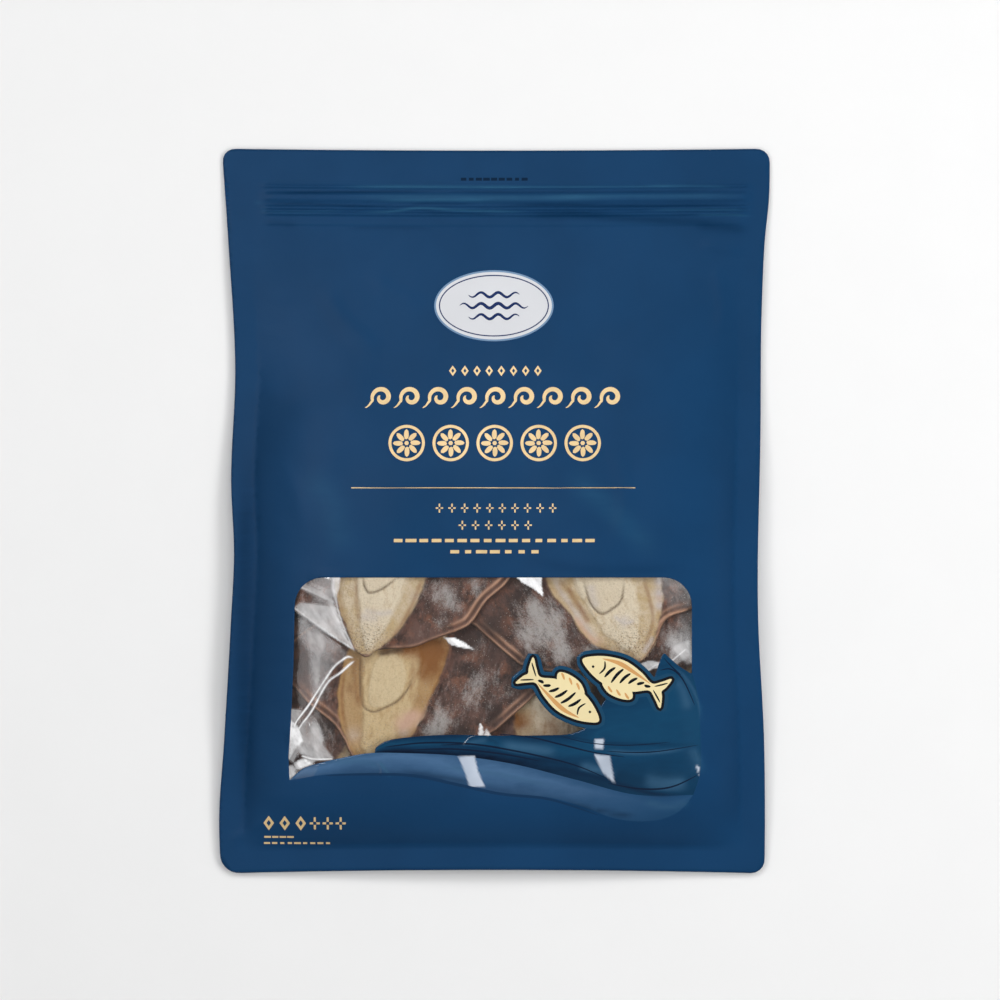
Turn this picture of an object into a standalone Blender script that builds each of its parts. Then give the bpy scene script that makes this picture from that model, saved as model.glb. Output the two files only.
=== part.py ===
"""A sealed, zip-topped film pouch of dried cuttlefish, lying on its back with its front up.

Metres, +Z up, +Y towards the zipped end. The origin is the middle of the pouch's footprint, on
the surface that it lies on. The pouch is one closed solid out to its film: a flat welded margin
all round, a pressed zip under the header, and a pillow raised by the pieces of cuttlefish inside.

Places on the pouch are flat-film coordinates: X across and Y along the pouch as it was cut. A
place in the footprint is called a plan point: the filled pouch draws its sides and ends inwards.
"""

import math

import bmesh
import bpy
import numpy as np
from mathutils import Vector

# The film as it was cut
POUCH_WIDTH = 0.2815
POUCH_HEIGHT = 0.3705
TOP_CORNER = 0.0067
BOTTOM_CORNER = 0.0082
WELD_THICKNESS = 0.0005

# Welded margins
SIDE_WELD = 0.0125
BOTTOM_WELD = 0.012
HEADER = 0.0165

# How far the filled pouch draws its edges in: (height above the bottom edge, inset)
LEFT_INSET = (
    (0.000, 0.0008),
    (0.027, 0.0000),
    (0.068, 0.0026),
    (0.130, 0.0062),
    (0.163, 0.0077),
    (0.200, 0.0062),
    (0.257, 0.0082),
    (0.324, 0.0046),
    (0.370, 0.0014),
)
RIGHT_INSET = (
    (0.000, 0.0028),
    (0.027, 0.0026),
    (0.068, 0.0031),
    (0.130, 0.0062),
    (0.227, 0.0049),
    (0.293, 0.0041),
    (0.324, 0.0026),
    (0.345, 0.0005),
    (0.370, 0.0000),
)
TOP_BOW = 0.0010
BOTTOM_BOW = 0.0020

# The pillow, measured from the welded margin's own height
FRONT_RISE = 0.0195
BACK_RISE = 0.017
SHOULDER = 0.048
UPPER_SHOULDER = 0.080
SHOULDER_POWER = 2.5
PILLOW_TOP_Y = 0.146
PLATEAU_END_Y = 0.008
KNEE = 0.0015

# The margin's height over the table
MARGIN_HEIGHT = 0.0010
SIDE_LIFT = 0.0095
SIDE_LIFT_Y = -0.050
SIDE_LIFT_REACH = 0.105
END_LIFT = 0.0050
END_LIFT_REACH = 0.055
HEADER_LIFT = 0.0022
HEADER_LIFT_Y = 0.125
HEADER_LIFT_REACH = 0.040
MARGIN_DROOP = 0.0012
MARGIN_WAVE = 0.0007
MARGIN_WAVE_LENGTH = 0.092

# Where stiff pieces of cuttlefish push the front film up: (X, Y, turn in degrees, rise)
BONE_RIDGES = (
    (-0.060, -0.022, -11.0, 0.0026),
    (0.054, -0.024, 23.0, 0.0026),
    (-0.056, -0.101, -15.0, 0.0020),
    (0.044, -0.108, 18.0, 0.0016),
)
RIDGE_HALF_LENGTH = 0.046
RIDGE_HALF_WIDTH = 0.027

# The pressed zip: (distance below the top edge, half width, rise over the film)
ZIP_RIBS = (
    (0.0180, 0.0009, 0.0005),
    (0.0243, 0.0030, 0.0010),
    (0.0297, 0.0011, 0.0009),
    (0.0327, 0.0011, 0.0009),
)
ZIP_LAND = (0.0165, 0.0390, 0.0003)
ZIP_LEFT_END = -0.1220
ZIP_RIGHT_END = 0.1310
ZIP_END_TAPER = 0.003
ZIP_BACK_SHARE = 0.5

# Faces
CELL = 0.0080
CORNER_STEPS = 4


def smooth(share):
    """0 below 0, 1 above 1, and a soft step between."""
    share = np.clip(share, 0.0, 1.0)
    return share * share * (3.0 - 2.0 * share)


def bell(distance, reach):
    """1 in the middle, falling away over the reach."""
    return np.exp(-((distance / reach) ** 2))


def curve_through(stations, places):
    """A smooth curve's value at each place, through stations of (place, value)."""
    at, value = np.array(stations).T
    slope = np.gradient(value, at)
    places = np.clip(places, at[0], at[-1])
    left = np.clip(np.searchsorted(at, places, side="right") - 1, 0, len(at) - 2)
    span = at[left + 1] - at[left]
    share = (places - at[left]) / span
    return (
        value[left] * (1.0 + 2.0 * share) * (1.0 - share) ** 2
        + slope[left] * span * share * (1.0 - share) ** 2
        + value[left + 1] * share**2 * (3.0 - 2.0 * share)
        + slope[left + 1] * span * share**2 * (share - 1.0)
    )


def widest_x(y):
    """Half the cut film's width at a height, with its rounded corners."""
    radius = TOP_CORNER if y > 0.0 else BOTTOM_CORNER
    into_corner = min(max(abs(y) - (POUCH_HEIGHT / 2 - radius), 0.0), radius)
    return POUCH_WIDTH / 2 - radius + math.sqrt(radius**2 - into_corner**2)


def plan_point(x, y):
    """Where a place on the cut film lies in the filled pouch's footprint."""
    above_bottom = y + POUCH_HEIGHT / 2
    left = POUCH_WIDTH / 2 - curve_through(LEFT_INSET, above_bottom)
    right = POUCH_WIDTH / 2 - curve_through(RIGHT_INSET, above_bottom)
    plan_x = (right - left) / 2 + x * (left + right) / POUCH_WIDTH
    bow = np.where(y > 0, TOP_BOW, BOTTOM_BOW) * np.sign(y)
    near_end = smooth(np.abs(y) / (POUCH_HEIGHT / 2))
    return plan_x, y - bow * near_end * (1.0 - (2.0 * x / POUCH_WIDTH) ** 2)


def shoulder(distance, width):
    """How far the film has risen, 0 to 1, at a distance in from the weld."""
    share = np.clip(distance / width, 0.0, 1.0)
    return 1.0 - (1.0 - share) ** SHOULDER_POWER


def margin_height(x, y):
    """The height of the welded film, and of the middle surface between front and back."""
    lift = (
        SIDE_LIFT * bell(y - SIDE_LIFT_Y, SIDE_LIFT_REACH)
        + HEADER_LIFT * bell(y - HEADER_LIFT_Y, HEADER_LIFT_REACH)
        + END_LIFT
        * bell(y + POUCH_HEIGHT / 2, END_LIFT_REACH)
        * (1.0 - (2.0 * x / POUCH_WIDTH) ** 2) ** 2
    )
    into_margin = smooth((np.abs(x) - (POUCH_WIDTH / 2 - 2 * SIDE_WELD)) / (2 * SIDE_WELD))
    phase = np.where(x > 0, 0.0, 1.9)
    wave = MARGIN_WAVE * np.sin(2.0 * math.pi * y / MARGIN_WAVE_LENGTH + phase)
    lifted = lift / (SIDE_LIFT + MARGIN_HEIGHT)
    return MARGIN_HEIGHT + lift + into_margin * np.clip(lifted, 0.0, 1.0) * (wave - MARGIN_DROOP)


def pillow(x, y):
    """How full the pouch is at a place, 0 at the welds and 1 where it is fullest."""
    side = POUCH_WIDTH / 2 - SIDE_WELD - np.abs(x)
    bottom = y + POUCH_HEIGHT / 2 - BOTTOM_WELD
    upper = smooth((y - PLATEAU_END_Y) / (PILLOW_TOP_Y - PLATEAU_END_Y))
    width = SHOULDER + (UPPER_SHOULDER - SHOULDER) * upper
    return shoulder(side, width) * shoulder(bottom, SHOULDER) * (1.0 - upper)


def bone_ridges(x, y):
    """How far the stiff middles of the cuttlefish raise the front film."""
    total = np.zeros_like(x)
    for ridge_x, ridge_y, degrees, rise in BONE_RIDGES:
        turn = math.radians(degrees)
        across = (x - ridge_x) * math.cos(turn) + (y - ridge_y) * math.sin(turn)
        along = (y - ridge_y) * math.cos(turn) - (x - ridge_x) * math.sin(turn)
        total += rise * bell(across, RIDGE_HALF_WIDTH) * bell(along, RIDGE_HALF_LENGTH)
    return total


def zip_relief(x, y):
    """How far the pressed zip inside stands out under the film."""
    below_top = POUCH_HEIGHT / 2 - y
    start, end, step = ZIP_LAND
    relief = step * ((below_top > start) & (below_top < end))
    for middle, half_width, rise in ZIP_RIBS:
        relief = relief + rise * np.clip(1.0 - np.abs(below_top - middle) / half_width, 0.0, 1.0)
    from_end = np.minimum(x - ZIP_LEFT_END, ZIP_RIGHT_END - x)
    return relief * smooth(from_end / ZIP_END_TAPER)


def front_height(x, y):
    """The height of the front film over the table."""
    full = pillow(x, y)
    raised = FRONT_RISE * full + bone_ridges(x, y) * smooth(full / 0.6)
    return margin_height(x, y) + WELD_THICKNESS / 2 + raised + zip_relief(x, y)


def back_height(x, y):
    """The height of the back film, which the weight inside presses flat on the table."""
    hanging = (
        margin_height(x, y)
        - WELD_THICKNESS / 2
        - BACK_RISE * pillow(x, y)
        - ZIP_BACK_SHARE * zip_relief(x, y)
    )
    eased = (hanging + KNEE) ** 2 / (4.0 * KNEE)
    return np.where(hanging > KNEE, hanging, np.where(hanging < -KNEE, 0.0, eased))


def even_steps(start, end):
    """Grid lines from start to end, about a cell apart, without the last."""
    return list(np.linspace(start, end, max(2, round((end - start) / CELL) + 1))[:-1])


def column_lines():
    """The grid's X lines: close together over the welds and the steep shoulders."""
    edge = POUCH_WIDTH / 2
    weld = edge - SIDE_WELD
    right = even_steps(0.0, weld - 0.018) + [weld - gap for gap in (0.018, 0.011, 0.005, 0.0)]
    right += [weld + SIDE_WELD * share for share in (0.35, 0.7, 1.0)]
    return [-line for line in right[:0:-1]] + right


def row_lines():
    """The grid's Y lines: on the corner arcs, the weld, and each side and top of the zip's ribs."""
    edge = POUCH_HEIGHT / 2
    arc = [1.0 - math.cos(math.pi / 2 * step / CORNER_STEPS) for step in range(CORNER_STEPS + 1)]
    weld = -edge + BOTTOM_WELD
    rows = [-edge + BOTTOM_CORNER * share for share in arc] + [weld]
    rows += [weld + gap for gap in (0.004, 0.009, 0.015)]
    rows += even_steps(weld + 0.022, PILLOW_TOP_Y - 0.006) + [PILLOW_TOP_Y - 0.006]
    start, end, _ = ZIP_LAND
    rows += [edge - end - 0.0003, edge - end + 0.0003]
    for middle, half_width, _ in reversed(ZIP_RIBS):
        rows += [edge - middle + side * half_width for side in (-1.0, 0.0, 1.0)]
    rows += [edge - start - 0.0003, edge - start + 0.0003, edge - HEADER + 0.003]
    rows += [edge - TOP_CORNER * share for share in arc]
    return sorted(set(round(row, 6) for row in rows))


def sheet_vertices(mesh, height):
    """A grid of vertices for one film, front or back, as rows from the bottom edge up."""
    columns = np.array(column_lines()) / (POUCH_WIDTH / 2)
    rows = []
    for y in row_lines():
        x = columns * widest_x(y)
        along = np.full_like(x, y)
        plan_x, plan_y = plan_point(x, along)
        points = zip(plan_x, plan_y, height(x, along), strict=True)
        rows.append([mesh.verts.new(point) for point in points])
    return rows


def lies_flat(corners):
    """True where all of a cell rests on the table."""
    return all(corner.co.z == 0.0 for corner in corners)


def add_sheet_faces(mesh, rows, facing_up):
    """Quads between a sheet's vertices. The cells that rest on the table become one flat face."""
    resting = []
    for lower, upper in zip(rows, rows[1:], strict=False):
        for i in range(len(lower) - 1):
            corners = [lower[i], lower[i + 1], upper[i + 1], upper[i]]
            face = mesh.faces.new(corners if facing_up else corners[::-1])
            face.smooth = True
            if not facing_up and lies_flat(corners):
                resting.append(face)
    if resting:
        bmesh.ops.dissolve_faces(mesh, faces=resting, use_verts=False)


def rim_loop(rows):
    """A sheet's outer vertices in order, anticlockwise from the bottom left."""
    right = [row[-1] for row in rows[1:-1]]
    left = [row[0] for row in rows[-2:0:-1]]
    return rows[0] + right + rows[-1][::-1] + left


def add_rim_faces(mesh, back, front):
    """The thin cut edge of the weld, which closes the solid."""
    lower, upper = rim_loop(back), rim_loop(front)
    for i in range(len(lower)):
        after = (i + 1) % len(lower)
        mesh.faces.new([lower[i], lower[after], upper[after], upper[i]])


def centre_on_origin(mesh):
    """Moves the footprint's middle onto the origin."""
    low = [min(vertex.co[axis] for vertex in mesh.verts) for axis in range(2)]
    high = [max(vertex.co[axis] for vertex in mesh.verts) for axis in range(2)]
    offset = Vector((-(low[0] + high[0]) / 2, -(low[1] + high[1]) / 2, 0.0))
    bmesh.ops.translate(mesh, vec=offset, verts=mesh.verts)


def film_material():
    """Matt navy printed film."""
    material = bpy.data.materials.new("navy_printed_film")
    material.use_nodes = True
    shader = material.node_tree.nodes["Principled BSDF"]
    shader.inputs["Base Color"].default_value = (0.016, 0.058, 0.138, 1.0)
    shader.inputs["Roughness"].default_value = 0.5
    shader.inputs["Metallic"].default_value = 0.0
    return material


def build_pouch():
    """The pouch as one closed solid."""
    mesh = bmesh.new()
    front = sheet_vertices(mesh, front_height)
    back = sheet_vertices(mesh, back_height)
    add_sheet_faces(mesh, front, facing_up=True)
    add_sheet_faces(mesh, back, facing_up=False)
    add_rim_faces(mesh, back, front)
    centre_on_origin(mesh)
    bmesh.ops.triangulate(mesh, faces=mesh.faces)
    data = bpy.data.meshes.new("pouch")
    mesh.to_mesh(data)
    mesh.free()
    data.materials.append(film_material())
    pouch = bpy.data.objects.new("pouch", data)
    bpy.context.scene.collection.objects.link(pouch)
    return pouch


def main():
    """Clears the scene and builds the pouch."""
    for old in list(bpy.data.objects):
        bpy.data.objects.remove(old)
    build_pouch()


main()
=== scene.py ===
"""A sealed film pouch of dried cuttlefish: its printed film, clear window and contents.

Metres, +Z up out of the pouch's front, +Y towards its zipped end. A film point is a place on the
film as it was cut. A plan point is where a place is seen from straight above, measured from the
middle of the pouch's footprint. Lists of plan points are in millimetres, and mm() makes them metres.
"""

from __future__ import annotations

import logging
import math
from collections.abc import Iterable, Sequence
from dataclasses import dataclass, field
from enum import Enum

import bmesh
import bpy
import numpy as np
from mathutils import Matrix, Vector, geometry, kdtree, noise

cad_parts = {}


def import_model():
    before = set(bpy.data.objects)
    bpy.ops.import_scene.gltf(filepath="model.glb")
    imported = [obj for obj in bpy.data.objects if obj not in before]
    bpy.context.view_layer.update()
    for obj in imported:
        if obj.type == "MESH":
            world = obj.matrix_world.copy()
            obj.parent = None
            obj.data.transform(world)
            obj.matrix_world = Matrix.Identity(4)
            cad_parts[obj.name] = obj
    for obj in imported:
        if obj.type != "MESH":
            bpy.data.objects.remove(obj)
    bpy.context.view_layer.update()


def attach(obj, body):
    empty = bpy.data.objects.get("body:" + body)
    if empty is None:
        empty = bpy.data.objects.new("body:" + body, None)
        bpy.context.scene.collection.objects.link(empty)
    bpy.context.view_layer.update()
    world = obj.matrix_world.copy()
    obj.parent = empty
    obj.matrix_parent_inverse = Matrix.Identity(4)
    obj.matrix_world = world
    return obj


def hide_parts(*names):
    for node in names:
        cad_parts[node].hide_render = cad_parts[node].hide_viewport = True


log = logging.getLogger("pouch")

MM = 0.001
FISH_LENGTH = 46.0
FINE_MARGIN = 0.004
LINE_POINT_GAP = 0.0008
GRAIN_DENSITY = 1.1e6
GRAIN_SIZE = 0.00017
DEEPEST_DUSTED = 6.0
Array = np.ndarray
Points = Sequence[tuple[float, float]]
Spots = Sequence[tuple[float, float, float, float]]
Colour = tuple[float, float, float]


def mm(values: Sequence) -> Array:
    """Millimetres as metres."""
    return np.asarray(values, dtype=float) * MM


def smooth(share: Array) -> Array:
    """0 below 0, 1 above 1, and a soft step between."""
    share = np.clip(share, 0.0, 1.0)
    return share * share * (3.0 - 2.0 * share)


def faded_ends(share: Array, reach: float) -> Array:
    """1 along a line, falling to 0 over the first and last reach of its length."""
    return smooth(share / reach) * smooth((1.0 - share) / reach)


def bell(distance: Array, reach: float) -> Array:
    """1 in the middle, falling away over the reach."""
    return np.exp(-((distance / reach) ** 2))


def uneven(places: Array, size: float, seed: float) -> Array:
    """Smooth seeded noise, about -1 to 1, whose lumps are about one size across.

    Args:
        places: Plan points.
        size: How far apart the lumps are.
        seed: Which of the endless patterns this is.

    Returns:
        One value a point.
    """
    return np.array([noise.noise(Vector((x / size, y / size, seed))) for x, y in places]) * 1.6


def crumpled(places: Array, size: float, seed: float) -> Array:
    """Seeded noise from 0 to 1 with sharp ridges, as film has where it was crushed.

    Args:
        places: Plan points.
        size: How far apart the ridges are.
        seed: Which of the endless patterns this is.

    Returns:
        One value a point.
    """
    ridge = [1.0 - abs(noise.noise(Vector((x / size, y / size, seed)))) * 2.4 for x, y in places]
    return np.clip(np.array(ridge), 0.0, 1.0)


def curve_through(points: Array, closed: bool = False, steps: int = 8) -> Array:
    """A smooth line through points.

    Args:
        points: The points that it passes.
        closed: Whether it comes back to its first point.
        steps: Pieces between one point and the next.

    Returns:
        The points of the line, in order.
    """
    count = len(points)
    spans = count if closed else count - 1
    found = []
    for i in range(spans):
        pick = [(i + k) % count if closed else min(max(i + k, 0), count - 1) for k in (-1, 0, 1, 2)]
        before, start, end, after = points[pick]
        for share in np.arange(steps) / steps:
            found.append(
                0.5
                * (
                    2.0 * start
                    + (end - before) * share
                    + (2.0 * before - 5.0 * start + 4.0 * end - after) * share**2
                    + (3.0 * start - before - 3.0 * end + after) * share**3
                )
            )
    if not closed:
        found.append(points[-1])
    return np.array(found)


def smooth_loop(points: Points) -> Array:
    """A smooth closed loop through points in millimetres."""
    return curve_through(mm(points), closed=True)


def nearest(line: Array, places: Array, closed: bool) -> tuple[Array, Array, Array]:
    """How each place lies to a line.

    Args:
        line: The line's points.
        places: The places asked about.
        closed: Whether the line's end joins its start.

    Returns:
        The distance to it, the side as 1 on the left and -1 on the right, and the share of the
        line's length at the nearest point.
    """
    ends = np.roll(line, -1, axis=0) if closed else line[1:]
    starts = line if closed else line[:-1]
    lengths = np.linalg.norm(ends - starts, axis=1)
    along = np.concatenate([[0.0], np.cumsum(lengths)])
    best = np.full(len(places), np.inf)
    side = np.ones(len(places))
    share = np.zeros(len(places))
    for i, (start, end) in enumerate(zip(starts, ends, strict=True)):
        if lengths[i] < 1e-9:
            continue
        run = (end - start) / lengths[i]
        offset = places - start
        travelled = np.clip(offset @ run, 0.0, lengths[i])
        gap = offset - travelled[:, None] * run
        distance = np.hypot(gap[:, 0], gap[:, 1])
        closer = distance < best
        best[closer] = distance[closer]
        cross = run[0] * offset[:, 1] - run[1] * offset[:, 0]
        side[closer] = np.where(cross[closer] >= 0.0, 1.0, -1.0)
        share[closer] = (along[i] + travelled[closer]) / along[-1]
    return best, side, share


def inside(loop: Array, places: Array) -> Array:
    """Which places lie inside a closed loop.

    Args:
        loop: The loop's points.
        places: The places asked about.

    Returns:
        True or False for each place.
    """
    low, high = loop.min(axis=0), loop.max(axis=0)
    near = np.all((places >= low) & (places <= high), axis=1)
    x, y = places[near].T
    within = np.zeros(len(x), dtype=bool)
    for (x1, y1), (x2, y2) in zip(loop, np.roll(loop, -1, axis=0), strict=True):
        if y1 == y2:
            continue
        spans = (y1 > y) != (y2 > y)
        within ^= spans & (x < (x2 - x1) * (y - y1) / (y2 - y1) + x1)
    found = np.zeros(len(places), dtype=bool)
    found[near] = within
    return found


def signed_depth(loop: Array, places: Array) -> Array:
    """How far inside a loop each place is, below zero outside it."""
    distance, _, _ = nearest(loop, places, closed=True)
    return np.where(inside(loop, places), distance, -distance)


def leftwards(run: Array) -> Array:
    """Steps of length 1 to the left of each given step."""
    run = run / np.maximum(np.linalg.norm(run, axis=1), 1e-9)[:, None]
    return np.stack([-run[:, 1], run[:, 0]], axis=1)


def beside(line: Array, offset: float | Array) -> Array:
    """A line moved to its left by an offset, which may be below zero."""
    return line + offset * leftwards(np.gradient(line, axis=0))


def spaced(line: Array, gap: float, closed: bool) -> Array:
    """The same line with its points evenly spaced.

    Args:
        line: The line's points.
        gap: About how far apart the new points are.
        closed: Whether the line's end joins its start.

    Returns:
        The new points.
    """
    path = np.vstack([line, line[:1]]) if closed else line
    along = np.concatenate([[0.0], np.cumsum(np.linalg.norm(np.diff(path, axis=0), axis=1))])
    count = max(2, int(round(along[-1] / gap)))
    wanted = np.linspace(0.0, along[-1], count + 1)
    points = np.stack([np.interp(wanted, along, path[:, axis]) for axis in range(2)], axis=1)
    return points[:-1] if closed else points


def brush_stroke(path: Array, width: float, steps: int = 6) -> Array:
    """The outline of a stroke that thins to a point at both ends.

    Args:
        path: Points that the stroke's middle passes.
        width: Its width at the middle.
        steps: Pieces between one point and the next.

    Returns:
        A closed loop.
    """
    line = curve_through(path, steps=steps)
    share = np.linspace(0.0, 1.0, len(line))
    half = width / 2 * np.sqrt(np.clip(np.sin(math.pi * share), 0.02, 1.0))[:, None]
    return np.vstack([beside(line, half), beside(line, -half)[::-1]])


def arc(middle: tuple[float, float], radius: float, start: float, turn: float) -> Array:
    """Points along an arc, from a starting angle on by a turn, both in degrees."""
    angles = np.radians(start + turn * np.arange(9) / 8)
    return np.array(middle) + radius * np.column_stack([np.cos(angles), np.sin(angles)])


def ring(count: int) -> Array:
    """Points round a circle of radius 1."""
    angles = np.linspace(0.0, 2.0 * math.pi, count, endpoint=False)
    return np.column_stack([np.cos(angles), np.sin(angles)])


def turned(points: Array, degrees: float, place: tuple[float, float]) -> Array:
    """Points turned anticlockwise about the origin and then moved to a place."""
    angle = math.radians(degrees)
    turn = np.array([[math.cos(angle), math.sin(angle)], [-math.sin(angle), math.cos(angle)]])
    return points @ turn + np.asarray(place)


def triangulate(points: Array, lines: Iterable[tuple[Array, bool]]) -> tuple[Array, Array]:
    """Triangles between points, with the lines kept as edges.

    Args:
        points: Loose points.
        lines: Lines that no triangle crosses, each with whether it is closed.

    Returns:
        The vertices' plan points and the corners of each triangle.
    """
    vertices = [Vector(point) for point in points]
    edges = []
    for line, closed in lines:
        first = len(vertices)
        vertices.extend(Vector(point) for point in line)
        edges += [(first + i, first + i + 1) for i in range(len(line) - 1)]
        if closed:
            edges.append((first + len(line) - 1, first))
    found = geometry.delaunay_2d_cdt(vertices, edges, [], 0, 1e-7, False)
    places = np.array([tuple(vertex) for vertex in found[0]])
    corners = np.array(found[2], dtype=int)
    a, b, c = (places[corners[:, k]] for k in range(3))
    area = (b[:, 0] - a[:, 0]) * (c[:, 1] - a[:, 1]) - (b[:, 1] - a[:, 1]) * (c[:, 0] - a[:, 0])
    corners = corners[np.abs(area) > 1e-12]
    area = area[np.abs(area) > 1e-12]
    corners[area < 0.0] = corners[area < 0.0][:, ::-1]
    return places, corners


def clear_of_lines(points: Array, lines: Iterable[tuple[Array, bool]], gap: float) -> Array:
    """The points that are not too close to any line.

    Args:
        points: Loose points.
        lines: Lines, each with whether it is closed.
        gap: The least distance to a line's points.

    Returns:
        The points that are left.
    """
    crowd = np.vstack([line for line, _ in lines])
    tree = kdtree.KDTree(len(crowd))
    for index, (x, y) in enumerate(crowd):
        tree.insert((x, y, 0.0), index)
    tree.balance()
    return np.array([point for point in points if tree.find((*point, 0.0))[2] > gap])


def grid(low: Sequence[float], high: Sequence[float], cell: float) -> Array:
    """Points in staggered rows between two corners."""
    found = []
    for i, y in enumerate(np.arange(low[1], high[1], cell * math.sqrt(0.75))):
        x = np.arange(low[0], high[0], cell) + (i % 2) * cell / 2
        found.append(np.column_stack([x, np.full(len(x), y)]))
    return np.vstack(found)


def linked_object(name: str, data: bpy.types.ID) -> bpy.types.Object:
    """A new object in the scene that shows the data."""
    made = bpy.data.objects.new(name, data)
    bpy.context.scene.collection.objects.link(made)
    return made


def make_object(
    name: str,
    places: Array,
    heights: Array,
    corners: Array,
    materials: Sequence[bpy.types.Material],
    slots: Array | None = None,
    attributes: dict[str, Array] | None = None,
) -> bpy.types.Object:
    """A smooth mesh object from plan points and heights.

    Args:
        name: The object's name.
        places: Plan points of the vertices.
        heights: Their heights.
        corners: The corners of each triangle.
        materials: The object's materials.
        slots: Which material each triangle has, or None where there is one.
        attributes: Values kept on the vertices for the materials to read.

    Returns:
        The object, linked to the scene.
    """
    used, compact = np.unique(corners, return_inverse=True)
    data = bpy.data.meshes.new(name)
    vertices = np.column_stack([places[used], heights[used]])
    data.from_pydata(vertices.tolist(), [], compact.reshape(corners.shape).tolist())
    for material in materials:
        data.materials.append(material)
    if slots is not None:
        data.polygons.foreach_set("material_index", slots.astype(np.int32))
    data.polygons.foreach_set("use_smooth", np.ones(len(corners), dtype=bool))
    for key, values in (attributes or {}).items():
        data.attributes.new(key, "FLOAT", "POINT").data.foreach_set("value", values[used])
    data.update()
    return linked_object(name, data)


def give_thickness(piece: bpy.types.Object, thickness: float, inner_slot: int = 0) -> None:
    """Thickens a sheet away from the way it faces.

    Args:
        piece: The sheet.
        thickness: How thick it becomes.
        inner_slot: How many material slots on the new inner face's material is.
    """
    solid = piece.modifiers.new("thickness", "SOLIDIFY")
    solid.thickness = thickness
    solid.offset = -1.0
    solid.material_offset = inner_slot
    result = modified_mesh(piece)
    piece.modifiers.clear()
    piece.data = result


def modified_mesh(piece: bpy.types.Object) -> bpy.types.Mesh:
    """A new mesh, which is what an object's modifiers make of its own."""
    graph = bpy.context.evaluated_depsgraph_get()
    return bpy.data.meshes.new_from_object(piece.evaluated_get(graph))


class Signal:
    """A node's output, on which Python's operators add Math nodes."""

    def __init__(self, graph: Graph, socket: bpy.types.NodeSocket) -> None:
        """Keeps the graph and the socket."""
        self.graph = graph
        self.socket = socket

    def math(self, operation: str, *others: Signal | float) -> Signal:
        """The result of a Math node whose first value is this one."""
        inputs = {0: self, **dict(enumerate(others, start=1))}
        return self.graph.node("ShaderNodeMath", {"operation": operation}, inputs)

    def __add__(self, other: Signal | float) -> Signal:
        """This plus another."""
        return self.math("ADD", other)

    def __sub__(self, other: Signal | float) -> Signal:
        """This less another."""
        return self.math("SUBTRACT", other)

    def __rsub__(self, other: float) -> Signal:
        """A number less this."""
        return self.graph.node("ShaderNodeMath", {"operation": "SUBTRACT"}, {0: other, 1: self})

    def __mul__(self, other: Signal | float) -> Signal:
        """This times another."""
        return self.math("MULTIPLY", other)

    __radd__ = __add__
    __rmul__ = __mul__

    def stepped(self, low: float, high: float) -> Signal:
        """A soft step from 0 at low to 1 at high."""
        settings = {"interpolation_type": "SMOOTHSTEP"}
        return self.graph.node("ShaderNodeMapRange", settings, {0: self, 1: low, 2: high})


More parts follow.
